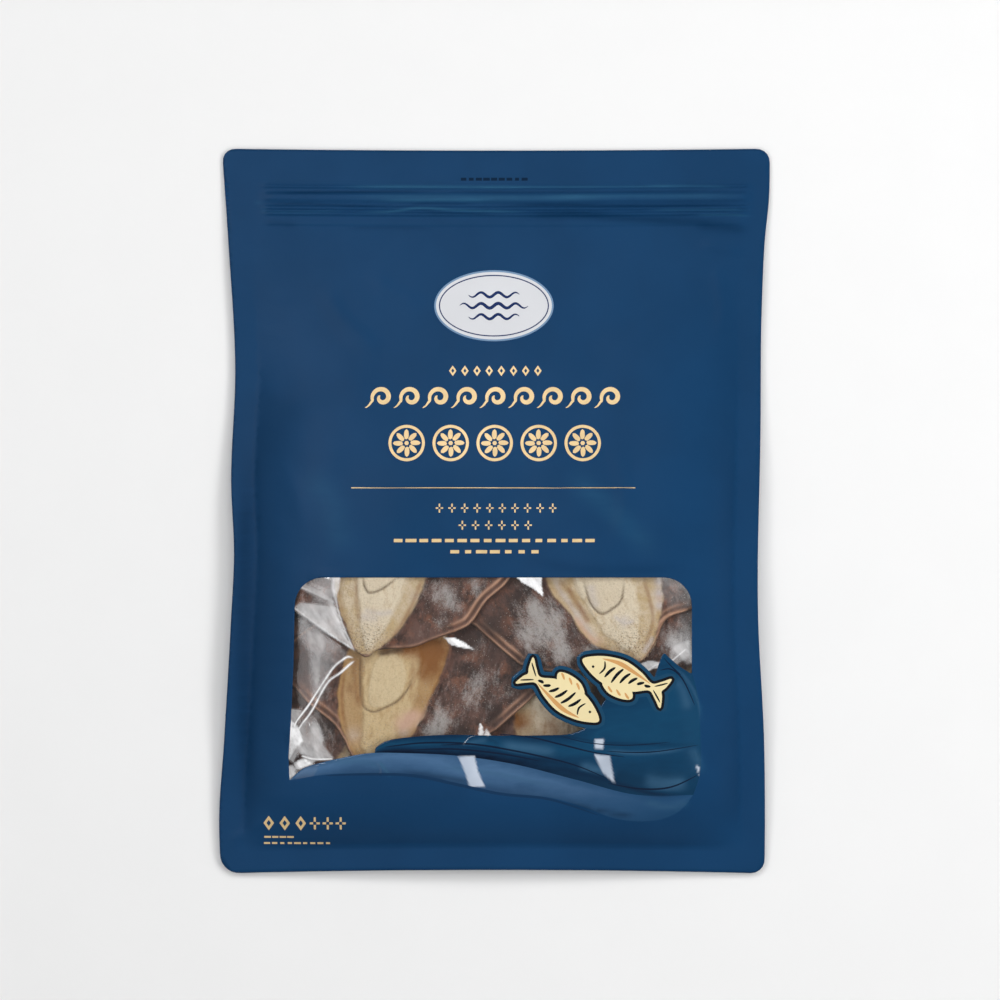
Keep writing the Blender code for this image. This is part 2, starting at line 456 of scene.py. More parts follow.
class Graph:
    """A node tree that is written as Python expressions."""

    def __init__(self, tree: bpy.types.NodeTree) -> None:
        """Starts with an empty tree."""
        self.tree = tree
        tree.nodes.clear()

    def add(self, kind: str, settings: dict | None = None, inputs: dict | None = None) -> bpy.types.Node:
        """Adds one node.

        Args:
            kind: The node's type.
            settings: Its own settings, such as an operation, set first. "stops" are a ramp's
            (place, colour) pairs.
            inputs: Values or links by socket name or number.

        Returns:
            The node.
        """
        node = self.tree.nodes.new(kind)
        for key, value in (settings or {}).items():
            if key == "stops":
                self.set_stops(node, value)
            else:
                setattr(node, key, value)
        for key, value in (inputs or {}).items():
            socket = node.inputs[key]
            if isinstance(value, Signal):
                self.tree.links.new(value.socket, socket)
            elif isinstance(value, bpy.types.NodeSocket):
                self.tree.links.new(value, socket)
            elif isinstance(value, tuple) and len(value) == 3 and socket.type == "RGBA":
                socket.default_value = (*value, 1.0)
            else:
                socket.default_value = value
        return node

    @staticmethod
    def set_stops(node: bpy.types.Node, stops: Sequence[tuple[float, Colour]]) -> None:
        """Sets a ramp's stops, each a place from 0 to 1 and a colour."""
        elements = node.color_ramp.elements
        while len(elements) < len(stops):
            elements.new(1.0)
        for element, (place, colour) in zip(elements, stops, strict=True):
            element.position = place
            element.color = (*colour, 1.0)

    def node(
        self,
        kind: str,
        settings: dict | None = None,
        inputs: dict | None = None,
        output: int | str = 0,
    ) -> Signal:
        """One output of a new node."""
        return Signal(self, self.add(kind, settings, inputs).outputs[output])

    def place(self, turn: float = 0.0, stretch: tuple[float, float, float] = (1.0, 1.0, 1.0)) -> Signal:
        """Object coordinates, in which patterns are turned about +Z and then stretched."""
        source = self.node("ShaderNodeTexCoord", output="Object")
        inputs = {"Vector": source, "Rotation": (0.0, 0.0, turn), "Scale": stretch}
        return self.node("ShaderNodeMapping", {"vector_type": "TEXTURE"}, inputs)

    def value(self, name: str) -> Signal:
        """A value kept on the mesh's vertices."""
        return self.node("ShaderNodeAttribute", {"attribute_name": name}, output="Fac")

    def noise(self, place: Signal, size: float, detail: float = 2.0, rough: float = 0.5) -> Signal:
        """Noise from 0 to 1 whose lumps are about one size across."""
        inputs = {"Vector": place, "Scale": 1.0 / size, "Detail": detail, "Roughness": rough}
        return self.node("ShaderNodeTexNoise", None, inputs)

    def mix(self, share: Signal | float, first: Signal | Colour, second: Signal | Colour) -> Signal:
        """A colour between two others."""
        settings = {"data_type": "RGBA"}
        return self.node("ShaderNodeMix", settings, {0: share, 6: first, 7: second}, output=2)

    def ramp(self, share: Signal, stops: Sequence[tuple[float, Colour]]) -> Signal:
        """A colour read from a row of stops."""
        return self.node("ShaderNodeValToRGB", {"stops": stops}, {0: share})

    def bump(self, height: Signal, depth: float, under: Signal | None = None) -> Signal:
        """A normal tilted by a height from 0 to 1 that stands for a depth."""
        inputs = {"Height": height, "Distance": depth, "Strength": 1.0}
        if under is not None:
            inputs["Normal"] = under
        return self.node("ShaderNodeBump", None, inputs)


class Finish:
    """A surface's look. Each kind of finish gives its shader."""

    name: str

    def material(self) -> bpy.types.Material:
        """Builds the material."""
        material = bpy.data.materials.new(self.name)
        material.use_nodes = True
        graph = Graph(material.node_tree)
        graph.add("ShaderNodeOutputMaterial", None, {"Surface": self.shader(graph)})
        return material

    def shader(self, graph: Graph) -> Signal:
        """The shader, whose nodes are added to the graph."""
        raise NotImplementedError


@dataclass(frozen=True)
class FilmFinish(Finish):
    """Opaque printed film: an ink under a matt or a glossy outer layer."""

    name: str
    ink: Colour
    roughness: float = 0.52
    specular: float = 0.07
    mottle: float = 0.06
    grain_depth: float = 0.00003
    ripple_depth: float = 0.00022
    lighter_and_highlight_ink: Colour = ()
    darker_and_shade_ink: Colour = ()

    def shader(self, graph: Graph) -> Signal:
        """The shader, whose nodes are added to the graph."""
        place = graph.place()
        broad = graph.noise(place, 0.045, 3.0)
        deep = tuple(channel * (1.0 - self.mottle) for channel in self.ink)
        light = tuple(channel * (1.0 + self.mottle) for channel in self.ink)
        colour = graph.mix(broad.stepped(0.3, 0.7), deep, light)
        # Lines painted lighter and darker: painted highlights and painted shade on the matt film.
        if self.lighter_and_highlight_ink:
            streak = graph.noise(graph.place(0.0, (7.0, 1.0, 1.0)), 0.0045, 4.0, 0.7)
            colour = graph.mix(graph.value("rubbed") * (streak * 1.4 + 0.3), colour, self.lighter_and_highlight_ink)
            colour = graph.mix(graph.value("pressed") * (streak * 1.2 + 0.4), colour, self.darker_and_shade_ink)
        grain = graph.noise(place, 0.0006, 2.0)
        ripple = graph.noise(place, 0.011, 3.0, 0.55)
        normal = graph.bump(grain, self.grain_depth, graph.bump(ripple, self.ripple_depth))
        inputs = {
            "Base Color": colour,
            "Roughness": grain * 0.08 + (self.roughness - 0.04),
            "Specular IOR Level": self.specular,
            "Normal": normal,
        }
        return graph.node("ShaderNodeBsdfPrincipled", None, inputs)


@dataclass(frozen=True)
class WaveFinish(Finish):
    """Glossy blue bands printed under clear film, shaded along the wave."""

    name: str
    start: float
    stops: tuple[tuple[float, Colour], ...]
    far_ink: Colour
    far_share: float
    # Inks of the lines painted lighter and darker, partly painted sheen and shade, partly print.
    lighter_and_highlight_ink: Colour = (0.034, 0.104, 0.190)
    darker_and_shade_ink: Colour = (0.002, 0.018, 0.050)
    # The colour of the painted highlights.
    painted_highlight_ink: Colour = (0.56, 0.62, 0.72)

    def shader(self, graph: Graph) -> Signal:
        """The shader, whose nodes are added to the graph."""
        place = graph.place(0.0, (3.0, 1.0, 1.0))
        streak = graph.noise(place, 0.010, 4.0, 0.62)
        rise = graph.value("wave_rise") - self.start + (streak - 0.5) * 0.9
        colour = graph.ramp(rise, self.stops)
        across = graph.node("ShaderNodeSeparateXYZ", None, {0: graph.place()})
        far = across.stepped(0.0, 0.09) * self.far_share
        colour = graph.mix(far, colour, self.far_ink)
        # Lines painted lighter and darker: partly painted sheen and shade, partly the print's own strokes.
        colour = graph.mix(graph.value("rubbed") * (streak * 1.6 + 0.1), colour, self.lighter_and_highlight_ink)
        colour = graph.mix(graph.value("pressed") * (streak * 1.2 + 0.4), colour, self.darker_and_shade_ink)
        inputs = {
            # Painted highlights: white-blue patches standing for reflections of the lights on the glossy
            # print.
            "Base Color": graph.mix(graph.value("flash") * (streak * 0.4 + 0.8), colour, self.painted_highlight_ink),
            "Roughness": graph.noise(place, 0.02) * 0.08 + 0.08,
            "Specular IOR Level": 0.28,
            "Normal": graph.bump(graph.noise(graph.place(), 0.009, 2.0), 0.00008),
        }
        return graph.node("ShaderNodeBsdfPrincipled", None, inputs)


@dataclass(frozen=True)
class ClearFinish(Finish):
    """Clear film: see-through, with a gloss that grows towards the edge-on view."""

    name: str = "clear_glossy_film"
    head_on: float = 0.064
    tint: Colour = (0.99, 0.99, 0.99)

    def shader(self, graph: Graph) -> Signal:
        """The shader, whose nodes are added to the graph."""
        place = graph.place()
        wave = graph.noise(place, 0.007, 3.0, 0.6)
        fine = graph.noise(place, 0.0022, 2.0)
        wrinkle = graph.noise(graph.place(0.6, (1.0, 2.6, 1.0)), 0.0050, 4.0, 0.68)
        # Painted glare: where it is marked, the film turns from clear gloss to milky white.
        cloud = graph.value("clouding") * (wrinkle * 1.8 + wave * 0.7 - 0.22)
        normal = graph.bump(fine, 0.00002, graph.bump(wave, 0.00008))
        view = {"Blend": 0.5, "Normal": normal}
        turned_away = graph.node("ShaderNodeLayerWeight", None, view, output="Facing")
        haze = graph.noise(place, 0.02, 3.0).stepped(0.45, 0.8) * 0.012
        inputs = {
            "Base Color": (0.93, 0.93, 0.94),
            "Metallic": 1.0 - cloud.stepped(0.0, 0.2),
            "Roughness": cloud * 0.6 + fine * 0.05 + 0.07,
            "Normal": normal,
        }
        gloss = graph.node("ShaderNodeBsdfPrincipled", None, inputs)
        through = graph.node("ShaderNodeBsdfTransparent", None, {"Color": self.tint})
        edge_on = turned_away.math("POWER", 5.0) * (1.0 - self.head_on)
        share = edge_on + self.head_on + haze + cloud
        return graph.node("ShaderNodeMixShader", None, {0: share, 1: through, 2: gloss})


@dataclass(frozen=True)
class CuttlefishFinish(Finish):
    """Dried cuttlefish: dark leathery flaps, dusted with white, round a chalky pale bone."""

    name: str
    turn: float
    darkness: float = 1.0
    amber: float = 0.1
    flap_dark: Colour = (0.034, 0.016, 0.012)
    flap_mid: Colour = (0.135, 0.067, 0.050)
    flap_red: Colour = (0.215, 0.086, 0.047)
    bloom: Colour = (0.430, 0.405, 0.390)
    rim: Colour = (0.600, 0.340, 0.220)
    rim_shade: Colour = (0.085, 0.036, 0.023)
    bone_tan: Colour = (0.560, 0.425, 0.235)
    bone_pale: Colour = (0.780, 0.690, 0.540)
    pale_amber: Colour = (0.640, 0.480, 0.250)
    chalk: Colour = (0.600, 0.545, 0.545)
    bone_edge: Colour = (0.430, 0.240, 0.082)
    bone_shade: Colour = (0.250, 0.160, 0.075)
    disc: Colour = (0.720, 0.625, 0.480)
    disc_amber: Colour = (0.680, 0.535, 0.315)
    gold: Colour = (0.240, 0.092, 0.018)
    pink: Colour = (0.640, 0.410, 0.300)
    seam: Colour = (0.135, 0.082, 0.040)

    def towards_amber(self, plain: Colour, amber: Colour) -> Colour:
        """A colour between the plain one and the amber one, by how amber the bone is."""
        return tuple(low + (high - low) * min(1.0, 1.6 * self.amber) for low, high in zip(plain, amber))

    def flap_colour(self, graph: Graph, along: Signal) -> Signal:
        """The flaps' colour.

        Args:
            graph: The material's graph.
            along: Coordinates stretched along the body.

        Returns:
            The colour.
        """
        place = graph.place()
        fibre = graph.noise(along, 0.0022, 5.0, 0.75)
        broad = graph.noise(place, 0.012, 5.0, 0.66) + (fibre - 0.5) * 0.5
        skin = graph.mix(broad.stepped(0.34, 0.68), self.flap_dark, self.flap_mid)
        blotch = graph.noise(place, 0.0085, 4.0, 0.6) + (fibre - 0.5) * 0.4
        skin = graph.mix(blotch.stepped(0.47, 0.70) * 0.75, skin, self.flap_red)
        speck = graph.noise(place, 0.0009, 3.0, 0.75)
        patch = graph.noise(along, 0.0060, 5.0, 0.68)
        powder = (patch - 0.5) * 2.2 + (speck - 0.5) * 1.2 + (fibre - 0.5) * 0.8
        dust = (graph.value("bloom") * 1.1 + powder).stepped(0.18, 1.2)
        skin = graph.mix(dust * 0.9, skin, self.bloom)
        skin = graph.mix(graph.value("rim_shade") * 0.75, skin, self.rim_shade)
        skin = graph.mix(graph.value("rim") * (fibre * 0.6 + 0.6), skin, self.rim)
        return graph.mix(graph.value("shaded"), skin, self.flap_dark)

    def bone_colour(self, graph: Graph, along: Signal, across: Signal) -> Signal:
        """The bone's colour.

        Args:
            graph: The material's graph.
            along: Coordinates stretched along the body.
            across: Coordinates stretched across the body.

        Returns:
            The colour.
        """
        place = graph.place()
        cloud = graph.noise(place, 0.007, 5.0, 0.62)
        grain = graph.noise(place, 0.0010, 4.0, 0.78)
        streak = graph.noise(along, 0.0024, 4.0, 0.62)
        lines = graph.noise(across, 0.0015, 4.0, 0.65)
        disc = self.towards_amber(self.disc, self.disc_amber)
        pale = self.towards_amber(self.bone_pale, self.pale_amber)
        ground = graph.mix(cloud.stepped(0.3, 0.7), self.bone_tan, disc)
        ground = graph.mix((grain * 0.5 + 1.0) * self.amber, ground, self.bone_edge)
        streaked = streak.stepped(0.45, 0.72)
        paler = graph.value("pale") * (cloud * 0.6 + 0.8 - streaked * 0.55) * (1.0 - 0.4 * self.amber)
        bone = graph.mix(paler, ground, pale)
        edge = graph.value("bone_edge") + (cloud - 0.5) * 0.9 + (streak - 0.5) * 0.8
        bone = graph.mix(edge.stepped(0.25, 1.05) * (0.22 + self.amber), bone, self.bone_edge)
        bone = graph.mix(streaked * 0.2 + lines.stepped(0.54, 0.78) * 0.16, bone, self.bone_edge)
        bone = graph.mix(graph.value("disc") * (0.98 - streaked * 0.3), bone, disc)
        bone = graph.mix(graph.value("chalk") * (cloud * 0.6 + 0.6), bone, self.chalk)
        pitted = grain.stepped(0.48, 0.66) * (graph.value("grainy") * 0.7 + 0.24)
        bone = graph.mix(pitted, bone, self.bone_shade)
        uneven_stain = cloud * 1.3 + streak * 0.6 + grain * 0.2
        bone = graph.mix((graph.value("gold") * uneven_stain).stepped(0.0, 1.0), bone, self.gold)
        bone = graph.mix((graph.value("pink") * uneven_stain).stepped(0.0, 1.0), bone, self.pink)
        # Dark lines, one of them a painted shadow under the upper left piece's tail edge
        return graph.mix(graph.value("seam") * (grain + 0.3), bone, self.seam)

    def shader(self, graph: Graph) -> Signal:
        """The shader, whose nodes are added to the graph."""
        along = graph.place(self.turn, (1.0, 2.4, 1.0))
        across = graph.place(self.turn, (4.0, 1.0, 1.0))
        bone = graph.value("bone")
        colour = graph.mix(bone, self.flap_colour(graph, along), self.bone_colour(graph, along, across))
        if self.darkness < 1.0:
            colour = graph.mix(1.0 - self.darkness, colour, (0.008, 0.005, 0.004))
        wrinkle = graph.noise(along, 0.0030, 5.0, 0.68)
        pores = graph.noise(graph.place(), 0.0009, 4.0, 0.72)
        ribs = graph.noise(across, 0.0016, 3.0, 0.6)
        normal = graph.bump(wrinkle, 0.0011)
        normal = graph.bump(pores, 0.0004, normal)
        normal = graph.bump(ribs * bone, 0.0003, normal)
        inputs = {
            "Base Color": colour,
            "Roughness": bone * 0.20 + pores * 0.2 + 0.36,
            "Specular IOR Level": 0.4,
            "Normal": normal,
        }
        return graph.node("ShaderNodeBsdfPrincipled", None, inputs)


@dataclass(frozen=True)
class PlainFinish(Finish):
    """A small or background surface: one colour with fine mottling."""

    name: str
    colour: Colour
    roughness: float = 0.6
    size: float = 0.002
    mottle: float = 0.08
    depth: float = 0.00002
    metallic: float = 0.0

    def shader(self, graph: Graph) -> Signal:
        """The shader, whose nodes are added to the graph."""
        spots = graph.noise(graph.place(), self.size, 3.0)
        dim = tuple(channel * (1.0 - self.mottle) for channel in self.colour)
        inputs = {
            "Base Color": graph.mix(spots.stepped(0.3, 0.7), dim, self.colour),
            "Roughness": spots * 0.1 + (self.roughness - 0.05),
            "Metallic": self.metallic,
            "Normal": graph.bump(spots, self.depth),
        }
        return graph.node("ShaderNodeBsdfPrincipled", None, inputs)


class Ink(Enum):
    """The fields of the pouch's front, in the order of its material slots."""

    MATT = 0
    WAVE_DEEP = 1
    WAVE_CREST = 2
    WAVE_LINE = 3
    WAVE_SHADE = 4
    BADGE = 5
    BADGE_RIM = 6
    NAVY = 7
    HALO = 8
    CREAM = 9
    AMBER = 10
    BLACK = 11
    INNER = 12
    CLEAR = 13


@dataclass(frozen=True)
class PouchForm:
    """The filled pouch's shape, with the sizes that its solid has.

    Insets are rows of height above the foot and inset, ridges of X, Y, turn in degrees and rise,
    zip ribs of distance below the top, half width and rise, and swells of rise, middle and reach.
    """

    width: float = 0.2815
    height: float = 0.3705
    corners: tuple[float, float, float, float] = (0.0070, 0.0068, 0.0066, 0.0095)
    weld_thickness: float = 0.0005
    side_weld: float = 0.0125
    bottom_weld: float = 0.012
    left_inset: Points = (
        (0, 0.0008), (0.027, 0), (0.068, 0.0026), (0.13, 0.0062), (0.163, 0.0077), (0.2, 0.0062),
        (0.257, 0.0082), (0.324, 0.0046), (0.37, 0.0014),
    )
    right_inset: Points = (
        (0, 0.0028), (0.027, 0.0026), (0.068, 0.0031), (0.13, 0.0062), (0.227, 0.0049), (0.293, 0.0041),
        (0.324, 0.0026), (0.345, 0.0005), (0.37, 0),
    )
    top_bow: float = 0.0010
    bottom_bow: float = 0.0020
    front_rise: float = 0.0195
    back_rise: float = 0.017
    shoulder: float = 0.048
    upper_shoulder: float = 0.080
    shoulder_power: float = 2.5
    pillow_top: float = 0.146
    plateau_end: float = 0.008
    knee: float = 0.0015
    ridges: Sequence[tuple[float, float, float, float]] = (
        (-0.06, -0.022, -11, 0.0026), (0.054, -0.024, 23, 0.0026), (-0.056, -0.101, -15, 0.002),
        (0.044, -0.108, 18, 0.0016),
    )
    ridge_size: tuple[float, float] = (0.027, 0.046)
    zip_ribs: Sequence[tuple[float, float, float]] = (
        (0.0188, 0.0009, 0.0007), (0.0243, 0.0027, 0.0011), (0.0297, 0.0011, 0.001),
        (0.0327, 0.0011, 0.001),
    )
    zip_land: tuple[float, float, float] = (0.0165, 0.0390, 0.0003)
    zip_ends: tuple[float, float] = (-0.1220, 0.1310)
    zip_land_softness: float = 0.0006
    zip_end_softness: float = 0.003
    swells: Sequence[tuple[float, float, float]] = (
        (0.0095, -0.050, 0.105), (0.0022, 0.125, 0.040), (0.0050, -0.18525, 0.055),
    )
    most_lift: float = 0.0105
    offset: tuple[float, float] = (0.0, 0.0)

    @staticmethod
    def eased(stations: Points, places: Array) -> Array:
        """A smooth curve's value at each place, through stations of (place, value).

        Args:
            stations: The pairs that the curve passes.
            places: Where it is read.

        Returns:
            The values.
        """
        at, value = np.array(stations).T
        slope = np.gradient(value, at)
        places = np.clip(places, at[0], at[-1])
        left = np.clip(np.searchsorted(at, places, side="right") - 1, 0, len(at) - 2)
        span = at[left + 1] - at[left]
        share = (places - at[left]) / span
        return (
            value[left] * (1.0 + 2.0 * share) * (1.0 - share) ** 2
            + slope[left] * span * share * (1.0 - share) ** 2
            + value[left + 1] * share**2 * (3.0 - 2.0 * share)
            + slope[left + 1] * span * share**2 * (share - 1.0)
        )

    def sides(self, y: Array) -> tuple[Array, Array]:
        """How far the left and right edges are from the film's middle line at each height."""
        above_bottom = y + self.height / 2
        left = self.width / 2 - self.eased(self.left_inset, above_bottom)
        right = self.width / 2 - self.eased(self.right_inset, above_bottom)
        return left, right

    def bow(self, x: Array, y: Array) -> Array:
        """How far the ends are drawn in, signed as Y is."""
        most = np.where(y > 0, self.top_bow, self.bottom_bow) * np.sign(y)
        return most * smooth(np.abs(y) / (self.height / 2)) * (1.0 - (2.0 * x / self.width) ** 2)

    def plan(self, film: Array) -> Array:
        """The plan points of film points."""
        x, y = film.T
        left, right = self.sides(y)
        plan_x = (right - left) / 2 + x * (left + right) / self.width
        return np.column_stack([plan_x, y - self.bow(x, y)]) + self.offset

    def film(self, plan: Array) -> Array:
        """The film points of plan points, found in a few closer and closer tries."""
        wanted_x, wanted_y = (plan - self.offset).T
        x, y = wanted_x, wanted_y
        for _ in range(4):
            left, right = self.sides(y)
            x = (wanted_x - (right - left) / 2) * self.width / (left + right)
            y = wanted_y + self.bow(x, y)
        return np.column_stack([x, y])

    def cut_edge(self, gap: float) -> Array:
        """The cut film's outline with rounded corners, as plan points.

        Args:
            gap: About how far apart the points are.

        Returns:
            A closed loop, anticlockwise.
        """
        loop = []
        sides = ((1, -1, -90), (1, 1, 0), (-1, 1, 90), (-1, -1, 180))
        for radius, (side_x, side_y, start) in zip(self.corners, sides, strict=True):
            middle = (side_x * (self.width / 2 - radius), side_y * (self.height / 2 - radius))
            loop.append(arc(middle, radius, start, 90.0))
        return self.plan(spaced(np.vstack(loop), gap, closed=True))

    def margin(self, x: Array, y: Array) -> Array:
        """The height of the middle between the films, which the welds lie at."""
        belly, head, foot = (rise * bell(y - middle, reach) for rise, middle, reach in self.swells)
        lift = belly + head + foot * (1.0 - (2.0 * x / self.width) ** 2) ** 2
        into_margin = smooth((np.abs(x) - self.width / 2 + 2 * self.side_weld) / (2 * self.side_weld))
        wave = 0.0007 * np.sin(2.0 * math.pi * y / 0.092 + np.where(x > 0, 0.0, 1.9))
        lifted = np.clip(lift / self.most_lift, 0.0, 1.0)
        return 0.0010 + lift + into_margin * lifted * (wave - 0.0012)

    def fullness(self, x: Array, y: Array) -> Array:
        """0 at the welds and 1 where the pouch is fullest."""
        side = self.width / 2 - self.side_weld - np.abs(x)
        bottom = y + self.height / 2 - self.bottom_weld
        upper = smooth((y - self.plateau_end) / (self.pillow_top - self.plateau_end))
        width = self.shoulder + (self.upper_shoulder - self.shoulder) * upper
        risen = [
            1.0 - (1.0 - np.clip(distance / reach, 0.0, 1.0)) ** self.shoulder_power
            for distance, reach in ((side, width), (bottom, self.shoulder))
        ]
        return risen[0] * risen[1] * (1.0 - upper)

    def zip_relief(self, x: Array, y: Array) -> Array:
        """How far the pressed zip inside stands out under the film."""
        below_top = self.height / 2 - y
        start, end, step = self.zip_land
        soft = self.zip_land_softness
        relief = step * smooth((below_top - start) / soft) * smooth((end - below_top) / soft)
        for middle, half_width, rise in self.zip_ribs:
            relief = relief + rise * smooth(1.25 - np.abs(below_top - middle) / half_width)
        from_end = np.minimum(x - self.zip_ends[0], self.zip_ends[1] - x)
        return relief * smooth(from_end / self.zip_end_softness)

    def front(self, plan: Array) -> Array:
        """The height of the front film's plain form at plan points."""
        x, y = self.film(plan).T
        full = self.fullness(x, y)
        raised = self.front_rise * full
        half_width, half_length = self.ridge_size
        for ridge_x, ridge_y, degrees, rise in self.ridges:
            turn = math.radians(degrees)
            across = (x - ridge_x) * math.cos(turn) + (y - ridge_y) * math.sin(turn)
            along = (y - ridge_y) * math.cos(turn) - (x - ridge_x) * math.sin(turn)
            raised += rise * bell(across, half_width) * bell(along, half_length) * smooth(full / 0.6)
        return self.margin(x, y) + self.weld_thickness / 2 + raised + self.zip_relief(x, y)

    def back(self, plan: Array) -> Array:
        """The height of the back film, which the weight inside presses flat on the table."""
        x, y = self.film(plan).T
        sunk = self.back_rise * self.fullness(x, y) + 0.5 * self.zip_relief(x, y)
        hanging = self.margin(x, y) - self.weld_thickness / 2 - sunk
        eased = (hanging + self.knee) ** 2 / (4.0 * self.knee)
        return np.where(hanging > self.knee, hanging, np.where(hanging < -self.knee, 0.0, eased))

    def centred(self) -> PouchForm:
        """The same form with its footprint's middle on the origin."""
        edge = self.cut_edge(MM)
        middle = (edge.min(axis=0) + edge.max(axis=0)) / 2
        return PouchForm(offset=(-middle[0], -middle[1]))


class Fold(Enum):
    """How a crease in the film is shaped across its length."""

    SHARP = "two flat flanks that meet at a sharp ridge"
    ROUND = "a rounded pleat"
    SOFT = "a gentle fold that the contents follow too"


@dataclass(frozen=True)
class Crease:
    """One crease in the front film. Its left flank is on the left of its path."""

    path: Points
    rise: float
    left: float
    right: float
    fold: Fold = Fold.SHARP
    taper: float = 0.3
    # How white the crease is painted: stress-whitened film and painted glint along its ridge.
    whitening_and_glint: float = 0.0

    def line(self) -> Array:
        """The crease's middle line."""
        return curve_through(mm(self.path), steps=6)

    def edges(self) -> list[tuple[Array, bool]]:
        """The lines along which the film bends sharply."""
        if self.fold is Fold.SOFT:
            return []
        shares = (1.0, 0.5, 0.0) if self.fold is Fold.ROUND else (1.0, 0.0)
        offsets = [self.left * share for share in shares] + [-self.right * share for share in shares[:-1]]
        middle = self.line()
        return [(spaced(beside(middle, offset * MM), LINE_POINT_GAP, False), False) for offset in offsets]

    def height(self, places: Array) -> Array:
        """How far the crease lifts the film at each plan point.

        Args:
            places: Plan points.

        Returns:
            The lift at each.
        """
        line = self.line()
        reach = max(self.left, self.right) * MM
        near = np.all((places > line.min(axis=0) - reach) & (places < line.max(axis=0) + reach), axis=1)
        lift = np.zeros(len(places))
        if not near.any():
            return lift
        distance, side, share = nearest(line, places[near], closed=False)
        width = np.where(side > 0, self.left, self.right) * MM
        inner = np.clip(1.0 - distance / width, 0.0, 1.0)
        if self.fold is not Fold.SHARP:
            inner = smooth(inner)
        lift[near] = self.rise * MM * inner * faded_ends(share, self.taper)
        return lift

    def clouding(self, places: Array) -> Array:
        """How white the bent film is painted at each plan point: stress-whitening and painted glint."""
        distance, _, share = nearest(self.line(), places, closed=False)
        across = np.clip(1.15 - distance / (0.62 * MM), 0.0, 1.0)
        return self.whitening_and_glint * faded_ends(share, 0.08) * across


@dataclass(frozen=True)
class PaintedGlarePatch:
    """A patch of painted glare: part of the film painted milky white where the lights glare off it."""

    corners: Sequence[tuple[float, float, float]]
    soft: float
    blend: float = 2.5

    def clouding(self, places: Array) -> Array:
        """How strong the painted glare is at each plan point.

        Args:
            places: Plan points.

        Returns:
            The share of white, blended between the strengths given at the corners.
        """
        corners = np.array(self.corners)
        loop, strengths = corners[:, :2] * MM, corners[:, 2]
        away = np.linalg.norm(places[:, None, :] - loop[None, :, :], axis=2)
        weights = 1.0 / (away**2 + (self.blend * MM) ** 2)
        strength = (weights @ strengths) / weights.sum(axis=1)
        return strength * smooth(signed_depth(loop, places) / (self.soft * MM) + 0.5)


@dataclass(frozen=True)
class Streak:
    """A soft-edged line of colour, in millimetres."""

    path: Points
    reach: float = 1.5
    strength: float = 0.45
    mask: str = "gold"
    fade: float = 0.2

    def over(self, places: Array) -> Array:
        """How strong the line is at each plan point."""
        gap, _, share = nearest(curve_through(mm(self.path)), places, closed=False)
        return self.strength * faded_ends(share, self.fade) * bell(gap, self.reach * MM)


@dataclass(frozen=True)
class FrontRelief:
    """What the front film does beyond its plain form: soft folds, puckers and creases.

    Crushed places are rows of X, Y, reach along X and along Y, and rise, in millimetres.
    """

    form: PouchForm
    creases: Sequence[Crease]
    crushed: Sequence[tuple[float, float, float, float, float]] = (
        (-95, -122, 11, 12, 0.5), (94, -72, 10, 10, 0.4),
    )

    def soft(self, places: Array) -> Array:
        """The height of the film with its soft folds, which the contents follow.

        Args:
            places: Plan points.

        Returns:
            The heights.
        """
        x, y = self.form.film(places).T
        full = self.form.fullness(x, y)
        weld = np.minimum(self.form.width / 2 - self.form.side_weld - np.abs(x), 0.06)
        lumps = 0.0008 * uneven(places, 0.055, 3.1) + 0.00035 * uneven(places, 0.021, 8.4)
        puckers = uneven(np.column_stack([places[:, 0] * 0.35, places[:, 1]]), 0.0085, 5.7)
        beside_weld = smooth(weld / 0.004) * bell(np.maximum(weld - 0.010, 0.0), 0.014)
        folds = sum(crease.height(places) for crease in self.creases if crease.fold is Fold.SOFT)
        return (
            self.form.front(places)
            + lumps * smooth(full / 0.5)
            + 0.00035 * puckers * beside_weld * smooth(full / 0.12)
            + folds
        )

    def sharp(self, places: Array) -> Array:
        """How far creases and crushed film stand over the soft folds."""
        lift = sum(crease.height(places) for crease in self.creases if crease.fold is not Fold.SOFT)
        ridges = crumpled(places, 0.0095, 1.7) + 0.4 * crumpled(places, 0.0042, 6.3)
        for x, y, reach_x, reach_y, rise in self.crushed:
            away_x, away_y = (places - mm((x, y))).T
            lift += rise * MM * ridges * bell(away_x, reach_x * MM) * bell(away_y, reach_y * MM)
        return lift

    def height(self, places: Array) -> Array:
        """The height of the front film.

        Args:
            places: Plan points.

        Returns:
            The heights.
        """
        return self.soft(places) + self.sharp(places)


# The glossy field of the front, whose top row gives top, corner radius, left and right, and the
# printed waves that close the window's foot
GLOSS_LEFT = (
    (-104.9, -126), (-103.6, -107), (-102.3, -78),
)
GLOSS_TOP = (-33.8, 14.5, -101.7, 100.4)
GLOSS_FOOT = (
    (100.4, -86), (96, -92), (90, -120), (40, -142), (10, -135), (-20, -131), (-45, -128), (-80, -130),
    (-95, -133), (-104.3, -137.2),
)
DEEP_SIDE = (
    (100.3, -81.3), (102.6, -90), (104.3, -100.7), (104.9, -116), (104.8, -132.4),
)
CREST_FOOT = (
    (-104.6, -137.4), (-90, -134.6), (-73.8, -133.4), (-42.2, -133.7), (-19.7, -138.2), (2.8, -143.1),
    (27.8, -145.8), (45.2, -150.8), (63, -157), (80.5, -157.9), (93.8, -153.3), (101.2, -144.6),
)
CREST_HEAD = (
    (-104.6, -137.4), (-99.9, -132.9), (-94.6, -129.8), (-79.6, -125.9), (-64.6, -123.2), (-49.7, -123),
    (-19.7, -124.4), (10.2, -128.8), (41.8, -136.8), (71.8, -144.4), (101.2, -144.6),
)
DEEP_HEAD = (
    (-61, -122.9), (-59.5, -119.5), (-51.2, -116), (-27.2, -113.9), (2.8, -114.2), (27.3, -114),
    (39.6, -113), (49.6, -107.6), (55, -97.6), (62, -92.4), (73, -91.4), (80, -88), (82, -82.3),
    (85.6, -72.8), (88.7, -74.4), (93.8, -78.8), (100.3, -82.8),
)
